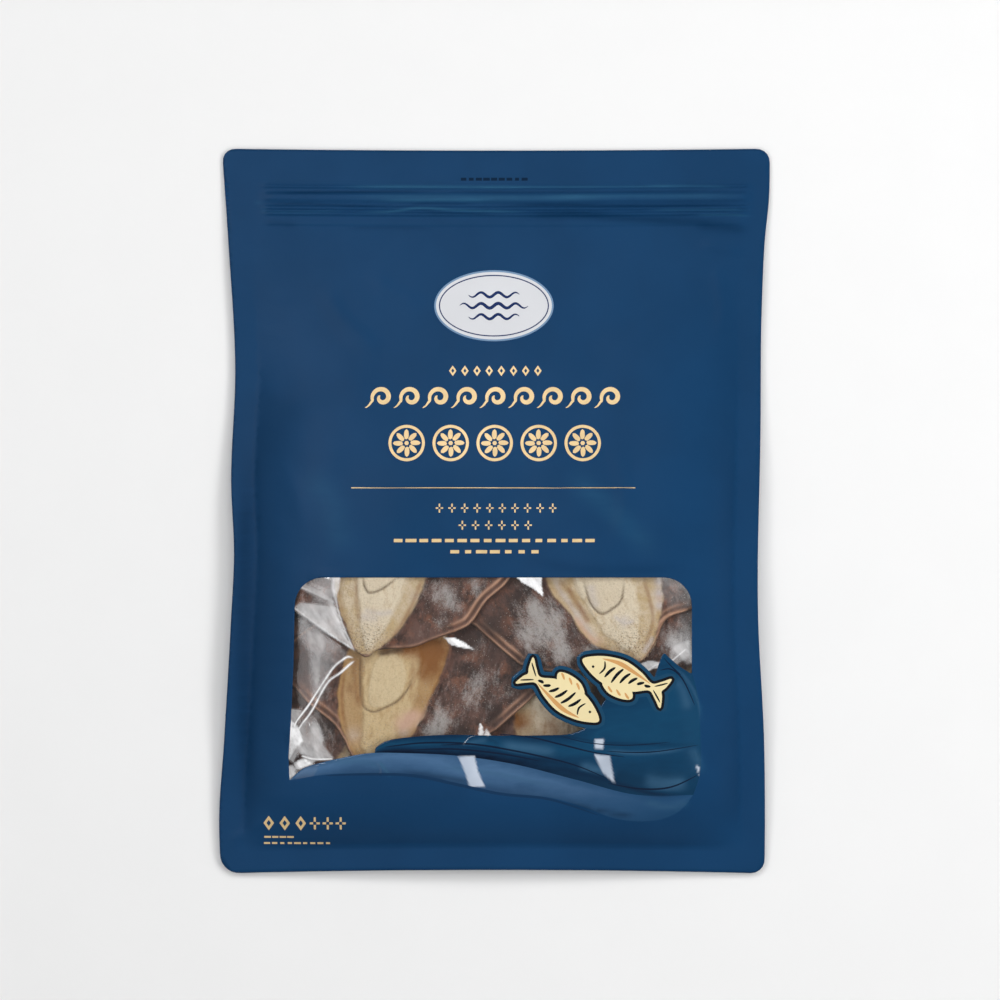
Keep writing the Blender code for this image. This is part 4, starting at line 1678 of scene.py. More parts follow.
@dataclass(frozen=True)
class Cuttlefish:
    """One cuttlefish, split, spread and dried: a broad dark mantle round its pale bone."""

    name: str
    mantle: Points
    bone: Points
    depth: float
    slope: tuple[float, float] = (0.0, 0.0)
    turn: float = 0.0
    amber: float = 0.1
    cell: float = 0.0008
    pale: Points = ()
    disc: Points = ()
    dark_lines: Sequence[Points] = ()
    gold: Spots = ()
    streaks: Sequence[Streak] = ()
    pink: Spots = ()
    chalk: Spots = ()
    grainy: Spots = ()
    shaded: Spots = ()
    bloom: Spots = ()
    thickness: float = 2.2
    rim: Spots = ()
    darkness: float = 1.0
    seed: float = 1.0
    bone_edge_width: float = 0.0058
    rim_inset: float = 0.0008
    groove_inset: float = 0.0023
    second_rim_inset: float = 0.0042
    dark_line_width: float = 0.0009
    tail_reach: float = 0.014

    def middle(self) -> Array:
        """The middle of the mantle, about which its depth slopes."""
        return mm(self.mantle).mean(axis=0)

    def masks(self, places: Array) -> dict[str, Array]:
        """What the finish reads at each vertex.

        Args:
            places: Plan points.

        Returns:
            Values from 0 to 1 by name.
        """
        in_bone = signed_depth(smooth_loop(self.bone), places)
        in_mantle = signed_depth(smooth_loop(self.mantle), places)
        wobble = uneven(places, 0.006, self.seed) * 0.0006
        none = np.zeros(len(places))
        masks = {
            "bone": smooth((in_bone + wobble + 0.0003) / 0.0010),
            "bone_edge": smooth(1.0 - (in_bone + wobble) / self.bone_edge_width),
            "pale": none,
            "disc": none,
            "seam": none,
        }
        strong = np.clip(soft_spots(self.rim, places), 0.0, 1.0)
        crest = bell(in_mantle - self.rim_inset, 0.0007) * (0.5 + 0.5 * strong)
        second = bell(in_mantle - self.second_rim_inset, 0.0008) * strong
        masks["rim"] = np.clip(crest + second, 0.0, 1.0)
        masks["rim_shade"] = strong * bell(in_mantle - self.groove_inset, 0.0012)
        if self.pale:
            in_pale = signed_depth(smooth_loop(self.pale), places)
            masks["pale"] = smooth((in_pale + wobble) / 0.0022)
        if self.disc:
            in_disc = signed_depth(smooth_loop(self.disc), places)
            masks["disc"] = smooth((in_disc + 0.0002) / 0.0012)
        for seam in self.dark_lines:
            gap, _, share = nearest(curve_through(mm(seam)), places, closed=False)
            line = smooth(1.0 - gap / self.dark_line_width) * (0.2 + 0.8 * faded_ends(share, 0.2))
            masks["seam"] = np.maximum(masks["seam"], line)
        for key in ("gold", "pink", "chalk", "grainy", "shaded", "bloom"):
            masks[key] = np.clip(soft_spots(getattr(self, key), places), 0.0, 1.2)
        for streak in self.streaks:
            masks[streak.mask] = np.maximum(masks[streak.mask], streak.over(places))
        masks["grainy"] += masks["bloom"] * (1.0 - masks["bone"]) + self.tail_grain(places)
        return masks

    def tail_grain(self, places: Array) -> Array:
        """Where the bone's pointed end is covered with coarse grains."""
        tip = mm(self.bone[0])
        in_bone = inside(smooth_loop(self.bone), places)
        return in_bone * bell(np.linalg.norm(places - tip, axis=1), self.tail_reach)

    def sunk(self, places: Array, masks: dict[str, Array]) -> Array:
        """How far the upper side lies under the film.

        Args:
            places: Plan points.
            masks: What masks() gave for them.

        Returns:
            The depths.
        """
        in_bone = signed_depth(smooth_loop(self.bone), places)
        in_mantle = signed_depth(smooth_loop(self.mantle), places)
        away = places - self.middle()
        lie = self.depth * MM + away[:, 0] * self.slope[0] + away[:, 1] * self.slope[1]
        beside_bone = 0.0013 * smooth(-in_bone / 0.004) - 0.0011 * smooth((-in_bone - 0.006) / 0.03)
        crown = 0.0009 * (1.0 - smooth(in_bone / 0.016)) * (in_bone > 0.0)
        step = 0.0008 * (1.0 - masks["pale"]) * masks["bone"] if self.pale else 0.0
        disc = -0.0006 * masks["disc"] + 0.0007 * masks["seam"]
        rough = 0.0007 * (uneven(places, 0.017, self.seed) + 1.0) * (1.0 - masks["bone"])
        fine = 0.00022 * uneven(places, 0.0042, self.seed + 4.0) * (1.0 - 0.6 * masks["bone"])
        drop = 1.0 - np.clip(in_mantle / 0.0012, 0.0, 1.0)
        edge = 0.0016 * (1.0 - np.sqrt(1.0 - 0.98 * drop**2))
        roll = -0.0008 * masks["rim"] + 0.0003 * masks["rim_shade"]
        return np.maximum(lie, 0.0006) + beside_bone + crown + step + disc + rough + fine + edge + roll

    def build(self, relief: FrontRelief) -> bpy.types.Object:
        """Makes the piece under the front film.

        Args:
            relief: The front film, whose soft folds the pieces follow.

        Returns:
            The piece.
        """
        outer = spaced(smooth_loop(self.mantle), self.cell, closed=True)
        lines = [(outer, True), (spaced(smooth_loop(self.bone), self.cell, closed=True), True)]
        loose = grid(outer.min(axis=0), outer.max(axis=0), self.cell)
        loose = clear_of_lines(loose[inside(outer, loose)], lines, self.cell * 0.5)
        places, corners = triangulate(loose, lines)
        corners = corners[inside(outer, places[corners].mean(axis=1))]
        masks = self.masks(places)
        heights = relief.soft(places) - self.sunk(places, masks)
        finish = CuttlefishFinish(f"{self.name}_skin", math.radians(self.turn), self.darkness, self.amber)
        piece = make_object(self.name, places, heights, corners, [finish.material()], None, masks)
        give_thickness(piece, self.thickness * MM)
        return piece


CATCH = (
    Cuttlefish(
        name="upper_left_cuttlefish",
        mantle=(
            (-65, -74.4), (-58.5, -70.6), (-42, -69.4), (-31, -65.4), (-17, -60.4), (-11, -56.2), (-4, -46),
            (8, -34), (12, -14), (4, 16), (-20, 44), (-52, 56), (-84, 40), (-108, 8), (-114, -24),
            (-106, -47), (-88, -59), (-71.5, -70.5),
        ),
        bone=(
            (-68.5, -72.8), (-61, -72), (-54.6, -67), (-48, -60.6), (-41.8, -50.8), (-36, -38), (-33, -20),
            (-34, 6), (-42, 34), (-56, 40), (-70, 26), (-79, 0), (-81, -24), (-80.8, -40), (-79, -50),
            (-75, -61), (-71.5, -69.4),
        ),
        pale=(
            (-65, -71.5), (-60, -68), (-54, -59), (-47.5, -46), (-44, -34), (-42, 0), (-56, 30), (-68, 0),
            (-70.5, -30), (-69.6, -50), (-68.5, -62),
        ),
        disc=(
            (-66.6, -36), (-63.5, -41.4), (-57, -39.8), (-49.5, -33.5), (-50, -22), (-60, -16), (-66, -24),
        ),
        dark_lines=(((-67.4, -33.5), (-66, -38.6), (-63.4, -41.6), (-57, -39.6), (-49.3, -33.9)),),
        gold=((-77.5, -60, 3, 0.2), (-79, -42, 3, 0.2)),
        streaks=(
            Streak(((-70.4, -30), (-70.2, -46), (-68.6, -60)), 1.4, 0.35),
            Streak(
                ((-36.5, -31.2), (-38.6, -39.3), (-43.2, -50.1), (-49.3, -60.8), (-55.4, -69)), 1.3, 0.45,
            ),
            Streak(
                ((-79.5, -31.2), (-78.4, -45.5), (-75.4, -58.3), (-71.8, -66.9), (-67.7, -72.1)), 0.9, 0.25,
            ),
            Streak(((-81, -32.2), (-80.5, -45.5), (-77.9, -56.7), (-73.8, -65.9)), 0.7, 0.2, "seam"),
            # This streak and the first two chalk spots below paint a white band across the bone's middle.
            Streak(((-67.7, -49.6), (-62.6, -51.6), (-56.5, -52.1), (-50.3, -50.6)), 1.6, 0.55, "chalk"),
        ),
        chalk=((-66, -53.6, 2.6, 0.5), (-61.5, -54.2, 2.6, 0.5), (-40.5, -44, 3, 0.35)),
        grainy=((-66, -66, 7, 0.5), (-58, -62, 6, 0.3)),
        shaded=((-34, -65, 3, 0.3), (-46, -67, 3, 0.4), (-55.4, -70.2, 2.6, 1)),
        bloom=(
            (-28, -42, 8, 0.75), (-10, -37, 6, 0.6), (-29, -57, 5, 0.45), (-20, -48, 5, 0.4),
            (-92, -50, 14, 0.3),
        ),
        rim=((-5, -47, 12, 1), (6, -34, 9, 1), (-14, -58, 8, 0.7)), depth=0.9, slope=(0.004, -0.002),
        turn=-10, seed=2,
    ),
    Cuttlefish(
        name="upper_right_cuttlefish",
        mantle=(
            (75.5, -76.2), (66, -79.8), (50, -81.6), (30, -82.2), (15, -79.2), (9, -75.2), (0, -67.6),
            (-9, -59.4), (-14.5, -53), (-12, -30), (0, 8), (24, 36), (54, 44), (86, 26), (108, 0),
            (116, -24), (110, -44), (99, -50.6), (92, -52.8), (86.8, -56.4), (82.6, -65.4),
        ),
        bone=(
            (75, -75.4), (66, -73.6), (55, -69.8), (48, -66), (42.2, -59), (36.6, -50.8), (29, -41.8),
            (25.4, -30), (25, -4), (38, 24), (54, 30), (72, 16), (81, -10), (84.4, -32), (85.8, -43),
            (85.2, -51), (83.2, -58), (80.8, -67),
        ),
        pale=(
            (72, -71), (62, -68), (53, -60), (47, -50), (41, -40), (38, -20), (46, 14), (60, 14), (69, -10),
            (72, -36), (75, -52),
        ),
        disc=(
            (66, -35), (64.6, -45), (59.4, -50.2), (54, -52.2), (48.6, -47), (45, -36), (46, -22),
            (56, -16), (65, -24),
        ),
        dark_lines=(((45.4, -36), (48.8, -47), (54, -52.2), (59.4, -50.2), (64.6, -45), (65.8, -35)),),
        gold=((35, -38, 4, 0.4), (40, -47, 3, 0.3)),
        streaks=(
            Streak(((75.6, -28), (76.6, -36), (79, -46), (80.6, -55), (78, -65), (74.5, -73)), 1.4),
            Streak(((34.6, -36), (39, -42), (44, -50), (49.6, -59)), 1.8, 0.6),
            Streak(((29.5, -32), (33, -40), (39, -48), (45, -57), (53, -66.5)), 1.6, 0.6, "chalk"),
            Streak(((40, -52), (46, -61), (54, -69)), 1.6, 0.6, "pink"),
            Streak(((49, -36), (50, -44), (53, -50)), 2.2, 0.5, "chalk"),
            Streak(((60, -52.5), (66, -57), (72, -55)), 1.2, 0.7, "chalk"),
            Streak(((81, -63), (78.6, -67.5), (75.4, -73)), 1.4, 0.8, "chalk"),
            Streak(((80.5, -62.9), (84.6, -56.2), (90.7, -52.4), (100.9, -50.1)), 1.1, 1, "rim"),
        ),
        pink=((44, -57, 4, 0.35), (52, -67, 5, 0.45), (84, -44, 3, 0.35)),
        chalk=(
            (83.6, -36, 2.6, 0.9), (83.8, -42, 2.6, 1), (84, -48, 2.4, 0.9), (43, -53, 3.4, 0.4),
            (66, -56, 3, 0.6),
        ),
        grainy=((62, -68, 9, 0.55), (72, -62, 6, 0.4), (73, -73, 4, 0.6)),
        shaded=((-1, -58.5, 7.5, 0.85), (8, -44, 7, 0.45), (14, -74, 5, 0.3)),
        bloom=(
            (25, -60, 14, 0.95), (20, -49, 6, 0.6), (-8, -44, 4, 0.5), (36, -73, 7, 0.7), (49, -71, 5, 0.9),
            (97, -38, 8, 0.5),
        ),
        rim=((-3, -66, 8, 0.9), (8, -73, 9, 1), (90, -54, 8, 0.7), (80, -66, 6, 0.6)), depth=3,
        slope=(-0.03, -0.008), turn=26, seed=7,
    ),
    Cuttlefish(
        name="lower_left_cuttlefish",
        mantle=(
            (-62, -137), (-40, -134), (-12, -122.6), (-2.4, -114), (1.6, -111.2), (10.2, -103.4),
            (20, -94.6), (25, -88), (24, -68), (16, -48), (-20, -40), (-60, -42), (-96, -60), (-112, -78),
            (-102.1, -90.2), (-94.6, -98.5), (-87, -104.4), (-81, -109.8), (-76.4, -117.2), (-72.6, -125),
        ),
        bone=(
            (-62, -134), (-52, -127), (-40.6, -112.8), (-36, -104.4), (-32.2, -96.2), (-27.8, -85),
            (-24.2, -76), (-23.4, -67.8), (-28, -58), (-46, -52), (-66, -58), (-74.6, -72), (-78.6, -84),
            (-80, -92.5), (-79.4, -104), (-76.6, -114), (-72.6, -123.2),
        ),
        pale=(
            (-60, -128), (-48, -114), (-41, -100), (-37, -84), (-37.5, -66), (-50, -58), (-66, -64),
            (-68.2, -80), (-67.8, -96), (-68, -110), (-68, -122),
        ),
        disc=(
            (-63.6, -98.6), (-59, -100.4), (-52.4, -98.4), (-46.6, -92.6), (-44.6, -84), (-46.4, -75.6),
            (-52, -72), (-58.6, -73.4), (-62.4, -80), (-64.4, -90),
        ),
        dark_lines=(
            (
                (-68.2, -94.4), (-66.4, -99.8), (-61.6, -102.2), (-55.6, -100), (-49.4, -96.8),
                (-44.4, -91), (-41.4, -84.6),
            ),
            ((-68.4, -74), (-68.6, -84), (-68.2, -97)),
        ),
        # The gold spots at (-47, -69) and (-56, -70.5), under the upper left piece's tail edge, are partly
        # stain and partly painted shadow.
        gold=(
            (-30, -71, 7.5, 1.2), (-47, -69, 5.5, 1), (-56, -70.5, 3, 0.8), (-38, -69, 5.5, 0.6),
            (-34, -82, 7, 0.7), (-73, -90, 3.6, 0.5), (-70, -78, 4, 0.5), (-38, -96, 4.5, 0.35),
        ),
        streaks=(
            Streak(((-72.8, -70), (-71.3, -78.7), (-70.3, -91.5), (-67.7, -102.7)), 2.6, 0.5),
            Streak(((-44.2, -68.5), (-41.6, -77.2), (-41.6, -86.4), (-44.2, -93.5)), 2.6, 0.4),
            # Painted shadow under the upper left piece's tail edge
            Streak(((-60.6, -72.1), (-56.5, -72.1), (-51.4, -71), (-45.2, -70)), 1.7, 1, "seam"),
            Streak(((-75.9, -77.2), (-77.4, -91.5), (-76.9, -104.2), (-73.8, -116)), 1.2, 0.5),
            Streak(((-24.8, -73.6), (-28.9, -86.4), (-34, -98.6), (-40.1, -109.9)), 1.1, 0.55),
            Streak(((-29.9, -91.5), (-35, -101.7), (-41.1, -111.9)), 1.2, 0.4, "chalk"),
        ),
        chalk=((-72, -114, 4, 0.35), (-46, -112.5, 3, 0.5)),
        pink=((-45.6, -108, 5.5, 0.75), (-40, -104, 4, 0.6)),
        bloom=(
            (-27, -106, 7, 0.9), (-31.5, -113, 5, 0.9), (-6, -84, 7, 0.5), (-8, -70, 6, 0.3),
            (-12, -96, 8, 0.5), (8, -92, 6, 0.4), (-88, -92, 8, 0.3),
        ),
        shaded=(
            (-99, -80, 8, 0.9), (-12, -66, 6, 0.85), (-2, -74, 6, 0.6), (0, -101, 6, 0.4),
            (-18, -112, 6, 0.3),
        ),
        grainy=((-58, -118, 8, 0.35), (-32, -96, 5, 0.5), (-70, -80, 5, 0.5)),
        rim=((-90, -103, 12, 0.8), (-76, -118, 8, 0.7), (12, -101, 10, 0.8)), depth=5.2,
        slope=(0.012, 0.052), turn=-12, amber=0.55, seed=11,
    ),
    Cuttlefish(
        name="lower_middle_cuttlefish",
        mantle=(
            (30, -150), (58, -140), (84, -116), (90, -84), (70, -50), (30, -38), (-10, -48), (-30, -80),
            (-26, -114), (0, -142),
        ),
        bone=((30, -146), (44, -132), (50, -104), (46, -74), (30, -60), (14, -74), (10, -104), (16, -132)),
        pale=((30, -138), (42, -122), (42, -90), (30, -72), (20, -90), (20, -122)),
        gold=((12, -106, 6, 0.9), (30, -112, 12, 0.55)), depth=9.6, slope=(0, 0.01), cell=0.0014, seed=15,
    ),
    Cuttlefish(
        name="right_hand_cuttlefish",
        mantle=(
            (98, -136), (114, -112), (118, -76), (108, -50), (84, -40), (66, -52), (58, -80), (66, -112),
        ),
        bone=((98, -130), (108, -108), (110, -90), (102, -78), (92, -92), (90, -112)),
        bloom=((88, -66, 10, 0.5), (98, -62, 8, 0.4)), depth=5.6, slope=(0.02, 0), cell=0.0014, seed=21,
    ),
    Cuttlefish(
        name="left_hand_cuttlefish",
        mantle=(
            (-92, -154), (-64, -146), (-52, -120), (-58, -92), (-74, -66), (-92, -52), (-110, -62),
            (-117, -90), (-117, -116), (-112, -140),
        ),
        bone=((-90, -150), (-72, -144), (-64, -128), (-70, -116), (-84, -130), (-92, -142)),
        bloom=((-88, -118, 8, 0.5), (-96, -108, 7, 0.4)), depth=7.6, cell=0.0014, seed=27,
    ),
)


class NodeModifier:
    """A Geometry Nodes tree built from code, with named inputs."""

    def __init__(self, name: str) -> None:
        """Starts a tree with its input and output nodes."""
        self.tree = bpy.data.node_groups.new(name, "GeometryNodeTree")
        self.graph = Graph(self.tree)
        self.entry = self.tree.nodes.new("NodeGroupInput")
        self.tree.interface.new_socket("Geometry", in_out="OUTPUT", socket_type="NodeSocketGeometry")
        self.named: dict[str, str] = {}
        self.inputs(Geometry="Geometry")

    def inputs(self, **kinds: str) -> list[Signal]:
        """Adds inputs, each by its name and kind, and gives them to link from."""
        for name, kind in kinds.items():
            socket = self.tree.interface.new_socket(name, in_out="INPUT", socket_type=f"NodeSocket{kind}")
            self.named[name] = socket.identifier
        return [Signal(self.graph, self.entry.outputs[name]) for name in kinds]

    def finish(self, shape: Signal, ink: Signal) -> None:
        """Ends the tree with real geometry in its material."""
        real = self.graph.node("GeometryNodeRealizeInstances", None, {0: shape})
        dressed = self.graph.node("GeometryNodeSetMaterial", None, {0: real, "Material": ink})
        self.graph.add("NodeGroupOutput", None, {0: dressed})

    def run(self, host: bpy.types.Object, values: dict[str, object]) -> bpy.types.Mesh:
        """What the tree makes on an object.

        Args:
            host: The object whose mesh goes in.
            values: Each named input's value.

        Returns:
            The plain mesh that comes out.
        """
        modifier = host.modifiers.new(self.tree.name, "NODES")
        modifier.node_group = self.tree
        for name, value in values.items():
            modifier[self.named[name]] = value
        mesh = modified_mesh(host)
        host.modifiers.remove(modifier)
        return mesh


def row_of_marks() -> NodeModifier:
    """A tree that sets a motif in an even row, each stretched by a seeded random amount."""
    made = NodeModifier("row_of_marks")
    motif, count, pitch, least, most, seed, ink = made.inputs(
        motif="Object", count="Int", pitch="Float", least="Float", most="Float", seed="Int", ink="Material"
    )
    graph = made.graph
    start = (count - 1.0) * pitch * -0.5
    begin = graph.node("ShaderNodeCombineXYZ", None, {0: start})
    step = graph.node("ShaderNodeCombineXYZ", None, {0: pitch})
    line = graph.node(
        "GeometryNodeMeshLine", {"mode": "OFFSET"}, {"Count": count, "Start Location": begin, "Offset": step}
    )
    shape = graph.node("GeometryNodeObjectInfo", None, {0: motif}, output="Geometry")
    stretch = graph.add("FunctionNodeRandomValue", {"data_type": "FLOAT"})
    sockets = {socket.identifier: socket for socket in stretch.inputs}
    for key, source in (("Min_001", least), ("Max_001", most), ("Seed", seed)):
        graph.tree.links.new(source.socket, sockets[key])
    amount = next(socket for socket in stretch.outputs if socket.identifier == "Value_001")
    scale = graph.node("ShaderNodeCombineXYZ", None, {0: Signal(graph, amount), 1: 1.0, 2: 1.0})
    inputs = {"Points": line, "Instance": shape, "Scale": scale}
    placed = graph.node("GeometryNodeInstanceOnPoints", None, inputs)
    made.finish(placed, ink)
    return made


def scattered_grains() -> NodeModifier:
    """A tree that scatters small rough grains where a mesh's "grainy" value is high."""
    made = NodeModifier("scattered_grains")
    density, size, seed, ink = made.inputs(density="Float", size="Float", seed="Int", ink="Material")
    graph = made.graph
    grainy = graph.node("GeometryNodeInputNamedAttribute", {"data_type": "FLOAT"}, {0: "grainy"})
    upward = graph.node("ShaderNodeSeparateXYZ", None, {0: graph.node("GeometryNodeInputNormal")}, output=2)
    settings = {"data_type": "FLOAT", "operation": "GREATER_THAN"}
    facing = graph.node("FunctionNodeCompare", settings, {0: upward, 1: 0.4})
    body = Signal(graph, made.entry.outputs["Geometry"])
    points = graph.node(
        "GeometryNodeDistributePointsOnFaces",
        {"distribute_method": "RANDOM"},
        {"Mesh": body, "Selection": facing, "Density": grainy * density, "Seed": seed},
    )
    grain = graph.node("GeometryNodeMeshIcoSphere", None, {"Radius": size, "Subdivisions": 1})
    least_and_most = {0: (0.5, 0.5, 0.35), 1: (1.5, 1.1, 0.8)}
    scale = graph.node("FunctionNodeRandomValue", {"data_type": "FLOAT_VECTOR"}, least_and_most)
    inputs = {"Points": points, "Instance": grain, "Scale": scale}
    placed = graph.node("GeometryNodeInstanceOnPoints", None, inputs)
    made.finish(placed, ink)
    return made


class Motif(Enum):
    """The simple shapes that the gold rows are made of."""

    BAR = "a short bar with rounded ends"
    LOZENGE = "a small lozenge"
    WAVE = "one curl of a running wave"
    ROSETTE = "a ring of petals"
    CROSS = "a small open cross"


@dataclass(frozen=True)
class MarkRow:
    """One row of printed marks, in millimetres."""

    name: str
    motif: Motif
    place: tuple[float, float]
    count: int
    pitch: float
    size: float
    stretch: tuple[float, float] = (1.0, 1.0)
    seed: int = 0


GOLD_ROWS = (
    MarkRow("gold_lozenges", Motif.LOZENGE, (0.4, 71.5), 8, 6.2, 5.4),
    MarkRow("gold_running_wave", Motif.WAVE, (0.2, 57.9), 9, 14.6, 14),
    MarkRow("gold_rosettes", Motif.ROSETTE, (0.1, 34.6), 5, 22.4, 18.6),
    MarkRow("gold_rule", Motif.BAR, (-0.6, 11.8), 1, 1, 0.42, (344, 344)),
    MarkRow("gold_crosses_upper", Motif.CROSS, (0.8, 1.5), 10, 6.4, 4.6),
    MarkRow("gold_crosses_lower", Motif.CROSS, (0.4, -7.2), 6, 6.7, 4.6),
    MarkRow("gold_dashes_upper", Motif.BAR, (-0.2, -15), 16, 6.5, 1.7, (1.8, 3.3), 5),
    MarkRow("gold_dashes_lower", Motif.BAR, (0.2, -20.7), 7, 6.8, 1.7, (1.8, 3.4), 9),
    MarkRow("gold_corner_lozenges", Motif.LOZENGE, (-107, -159.2), 3, 8.2, 7.6),
    MarkRow("gold_corner_crosses", Motif.CROSS, (-85, -159.2), 3, 6.6, 6.4),
    MarkRow("gold_corner_dashes_upper", Motif.BAR, (-110, -166.4), 4, 3.9, 1, (2.2, 3.6), 3),
    MarkRow("gold_corner_dashes_lower", Motif.BAR, (-100.6, -169.6), 9, 3.9, 1, (2, 3.6), 7),
)
DARK_ROWS = (
    MarkRow("dark_dashes_top", Motif.BAR, (-0.2, 169.6), 9, 3.9, 1.5, (1.2, 2.3), 11),
)


@dataclass
class PrintedMarks:
    """The small printed marks, laid over the front film."""

    relief: FrontRelief
    lift: float = 0.00009
    step: float = 0.0016

    def motif_loops(self, motif: Motif, size: float) -> list[tuple[Array, bool]]:
        """The outlines of one motif round the origin.

        Args:
            motif: Which motif.
            size: Its height, in millimetres.

        Returns:
            Closed loops in metres, each with whether it is ink, True, or a hole in the ink.
        """
        circle = ring(32)
        half = size / 2
        if motif is Motif.BAR:
            return [(mm(np.array(((-1, -1), (1, -1), (1, 1), (-1, 1))) * half), True)]
        if motif is Motif.LOZENGE:
            corners = np.array(((0.0, -1.0), (0.72, 0.0), (0.0, 1.0), (-0.72, 0.0)))
            return [(mm(corners * half), True), (mm(corners * half * 0.42), False)]
        if motif is Motif.CROSS:
            arms = [self.bar((-0.82, 0.0), (0.82, 0.0), 0.34), self.bar((0.0, -1.0), (0.0, 1.0), 0.34)]
            return [(mm(arm * half), True) for arm in arms] + [(mm(circle * half * 0.28), False)]
        if motif is Motif.ROSETTE:
            loops = [(mm(circle * half), True), (mm(circle * half * 0.84), False)]
            for petal in range(8):
                leaf = brush_stroke(np.array(((0.2, 0.0), (0.45, 0.02), (0.76, 0.0))), 0.27)
                loops.append((mm(turned(leaf, petal * 45.0, (0.0, 0.0)) * half), True))
            return loops + [(mm(circle * half * 0.13), True)]
        sweep = np.linspace(0.0, 1.0, 22)
        radius = 0.74 - 0.56 * sweep
        angle = math.radians(200.0) - sweep * math.radians(430.0)
        curl = np.column_stack([radius * np.cos(angle) + 0.12, radius * np.sin(angle)])
        swell = np.array(((-1.12, -0.78), (-0.86, -0.62), (-0.66, -0.34)))
        path = np.vstack([swell, curl]) * half
        return [(mm(brush_stroke(path, size * 0.17, steps=2)), True)]

    @staticmethod
    def bar(start: tuple[float, float], end: tuple[float, float], width: float) -> Array:
        """A straight bar between two points."""
        a, b = np.array(start), np.array(end)
        run = (b - a) / np.linalg.norm(b - a)
        across = np.array((-run[1], run[0])) * width / 2
        return np.array((a - across, b - across, b + across, a + across))

    def motif_object(self, motif: Motif, size: float) -> bpy.types.Object:
        """A flat mesh of one motif, to be set in rows.

        Args:
            motif: Which motif.
            size: Its height, in millimetres.

        Returns:
            The object.
        """
        loops = self.motif_loops(motif, size)
        gap = max(size * MM / 14, 0.0002)
        places, corners = triangulate(
            np.zeros((0, 2)), [(spaced(loop, gap, closed=True), True) for loop, _ in loops]
        )
        middles = places[corners].mean(axis=1)
        inked = np.zeros(len(corners), dtype=bool)
        for loop, ink in loops:
            inked[inside(loop, middles)] = ink
        return make_object(f"motif_{motif.name.lower()}", places, np.zeros(len(places)), corners[inked], [])

    def lay(self, mesh: bpy.types.Mesh, place: tuple[float, float]) -> None:
        """Moves a flat mesh to its place and lays it over the film.

        Args:
            mesh: The flat mesh.
            place: Where its middle goes, in millimetres.
        """
        shape = bmesh.new()
        shape.from_mesh(mesh)
        bmesh.ops.remove_doubles(shape, verts=shape.verts, dist=1e-6)
        for _ in range(8):
            long_edges = [edge for edge in shape.edges if edge.calc_length() > self.step]
            if not long_edges:
                break
            bmesh.ops.subdivide_edges(shape, edges=long_edges, cuts=1)
        bmesh.ops.triangulate(shape, faces=shape.faces)
        places = np.array([vertex.co.xy for vertex in shape.verts]) + mm(place)
        for vertex, (x, y), z in zip(shape.verts, places, self.relief.height(places), strict=True):
            vertex.co = (x, y, z + self.lift)
        for face in shape.faces:
            face.smooth = True
        shape.to_mesh(mesh)
        shape.free()

    def build(self, rows: Sequence[MarkRow], material: bpy.types.Material) -> list[bpy.types.Object]:
        """Makes every row of one ink.

        Args:
            rows: The rows.
            material: Their ink.

        Returns:
            The pieces.
        """
        tree = row_of_marks()
        host = make_object("mark_host", np.zeros((3, 2)), np.zeros(3), np.array([[0, 1, 2]]), [])
        pieces = []
        for row in rows:
            motif = self.motif_object(row.motif, row.size)
            least, most = row.stretch
            values = {"motif": motif, "count": row.count, "pitch": row.pitch * MM, "seed": row.seed}
            mesh = tree.run(host, values | {"least": least, "most": most, "ink": material})
            self.lay(mesh, row.place)
            pieces.append(linked_object(row.name, mesh))
            bpy.data.objects.remove(motif)
        bpy.data.objects.remove(host)
        return pieces


@dataclass(frozen=True)
class SoftBox:
    """One softbox, aimed at the middle of the pouch."""

    name: str
    place: tuple[float, float, float]
    size: tuple[float, float]
    brightness: float
    mirrored: bool = False
    spread: bool = True

    def build(self) -> None:
        """Makes the light. Its power gives its face the brightness asked for."""
        data = bpy.data.lights.new(self.name, "AREA")
        data.shape = "RECTANGLE"
        data.size, data.size_y = self.size
        data.energy = self.brightness * math.pi * self.size[0] * self.size[1]
        light = linked_object(self.name, data)
        light.location = self.place
        aim = Vector((0.0, 0.0, 0.0)) - Vector(self.place)
        across = Vector((-self.place[1], self.place[0], 0.0)).normalized()
        facing = -aim.normalized()
        upward = facing.cross(across)
        light.matrix_world = self.frame(upward, across, facing)
        light.visible_camera = False
        light.visible_glossy = self.mirrored
        light.visible_diffuse = self.spread

    def frame(self, x: Vector, y: Vector, z: Vector) -> object:
        """The light's place and turn, from its own three axes."""
        turn = Matrix((x, y, z)).transposed()
        return Matrix.Translation(self.place) @ turn.to_4x4()


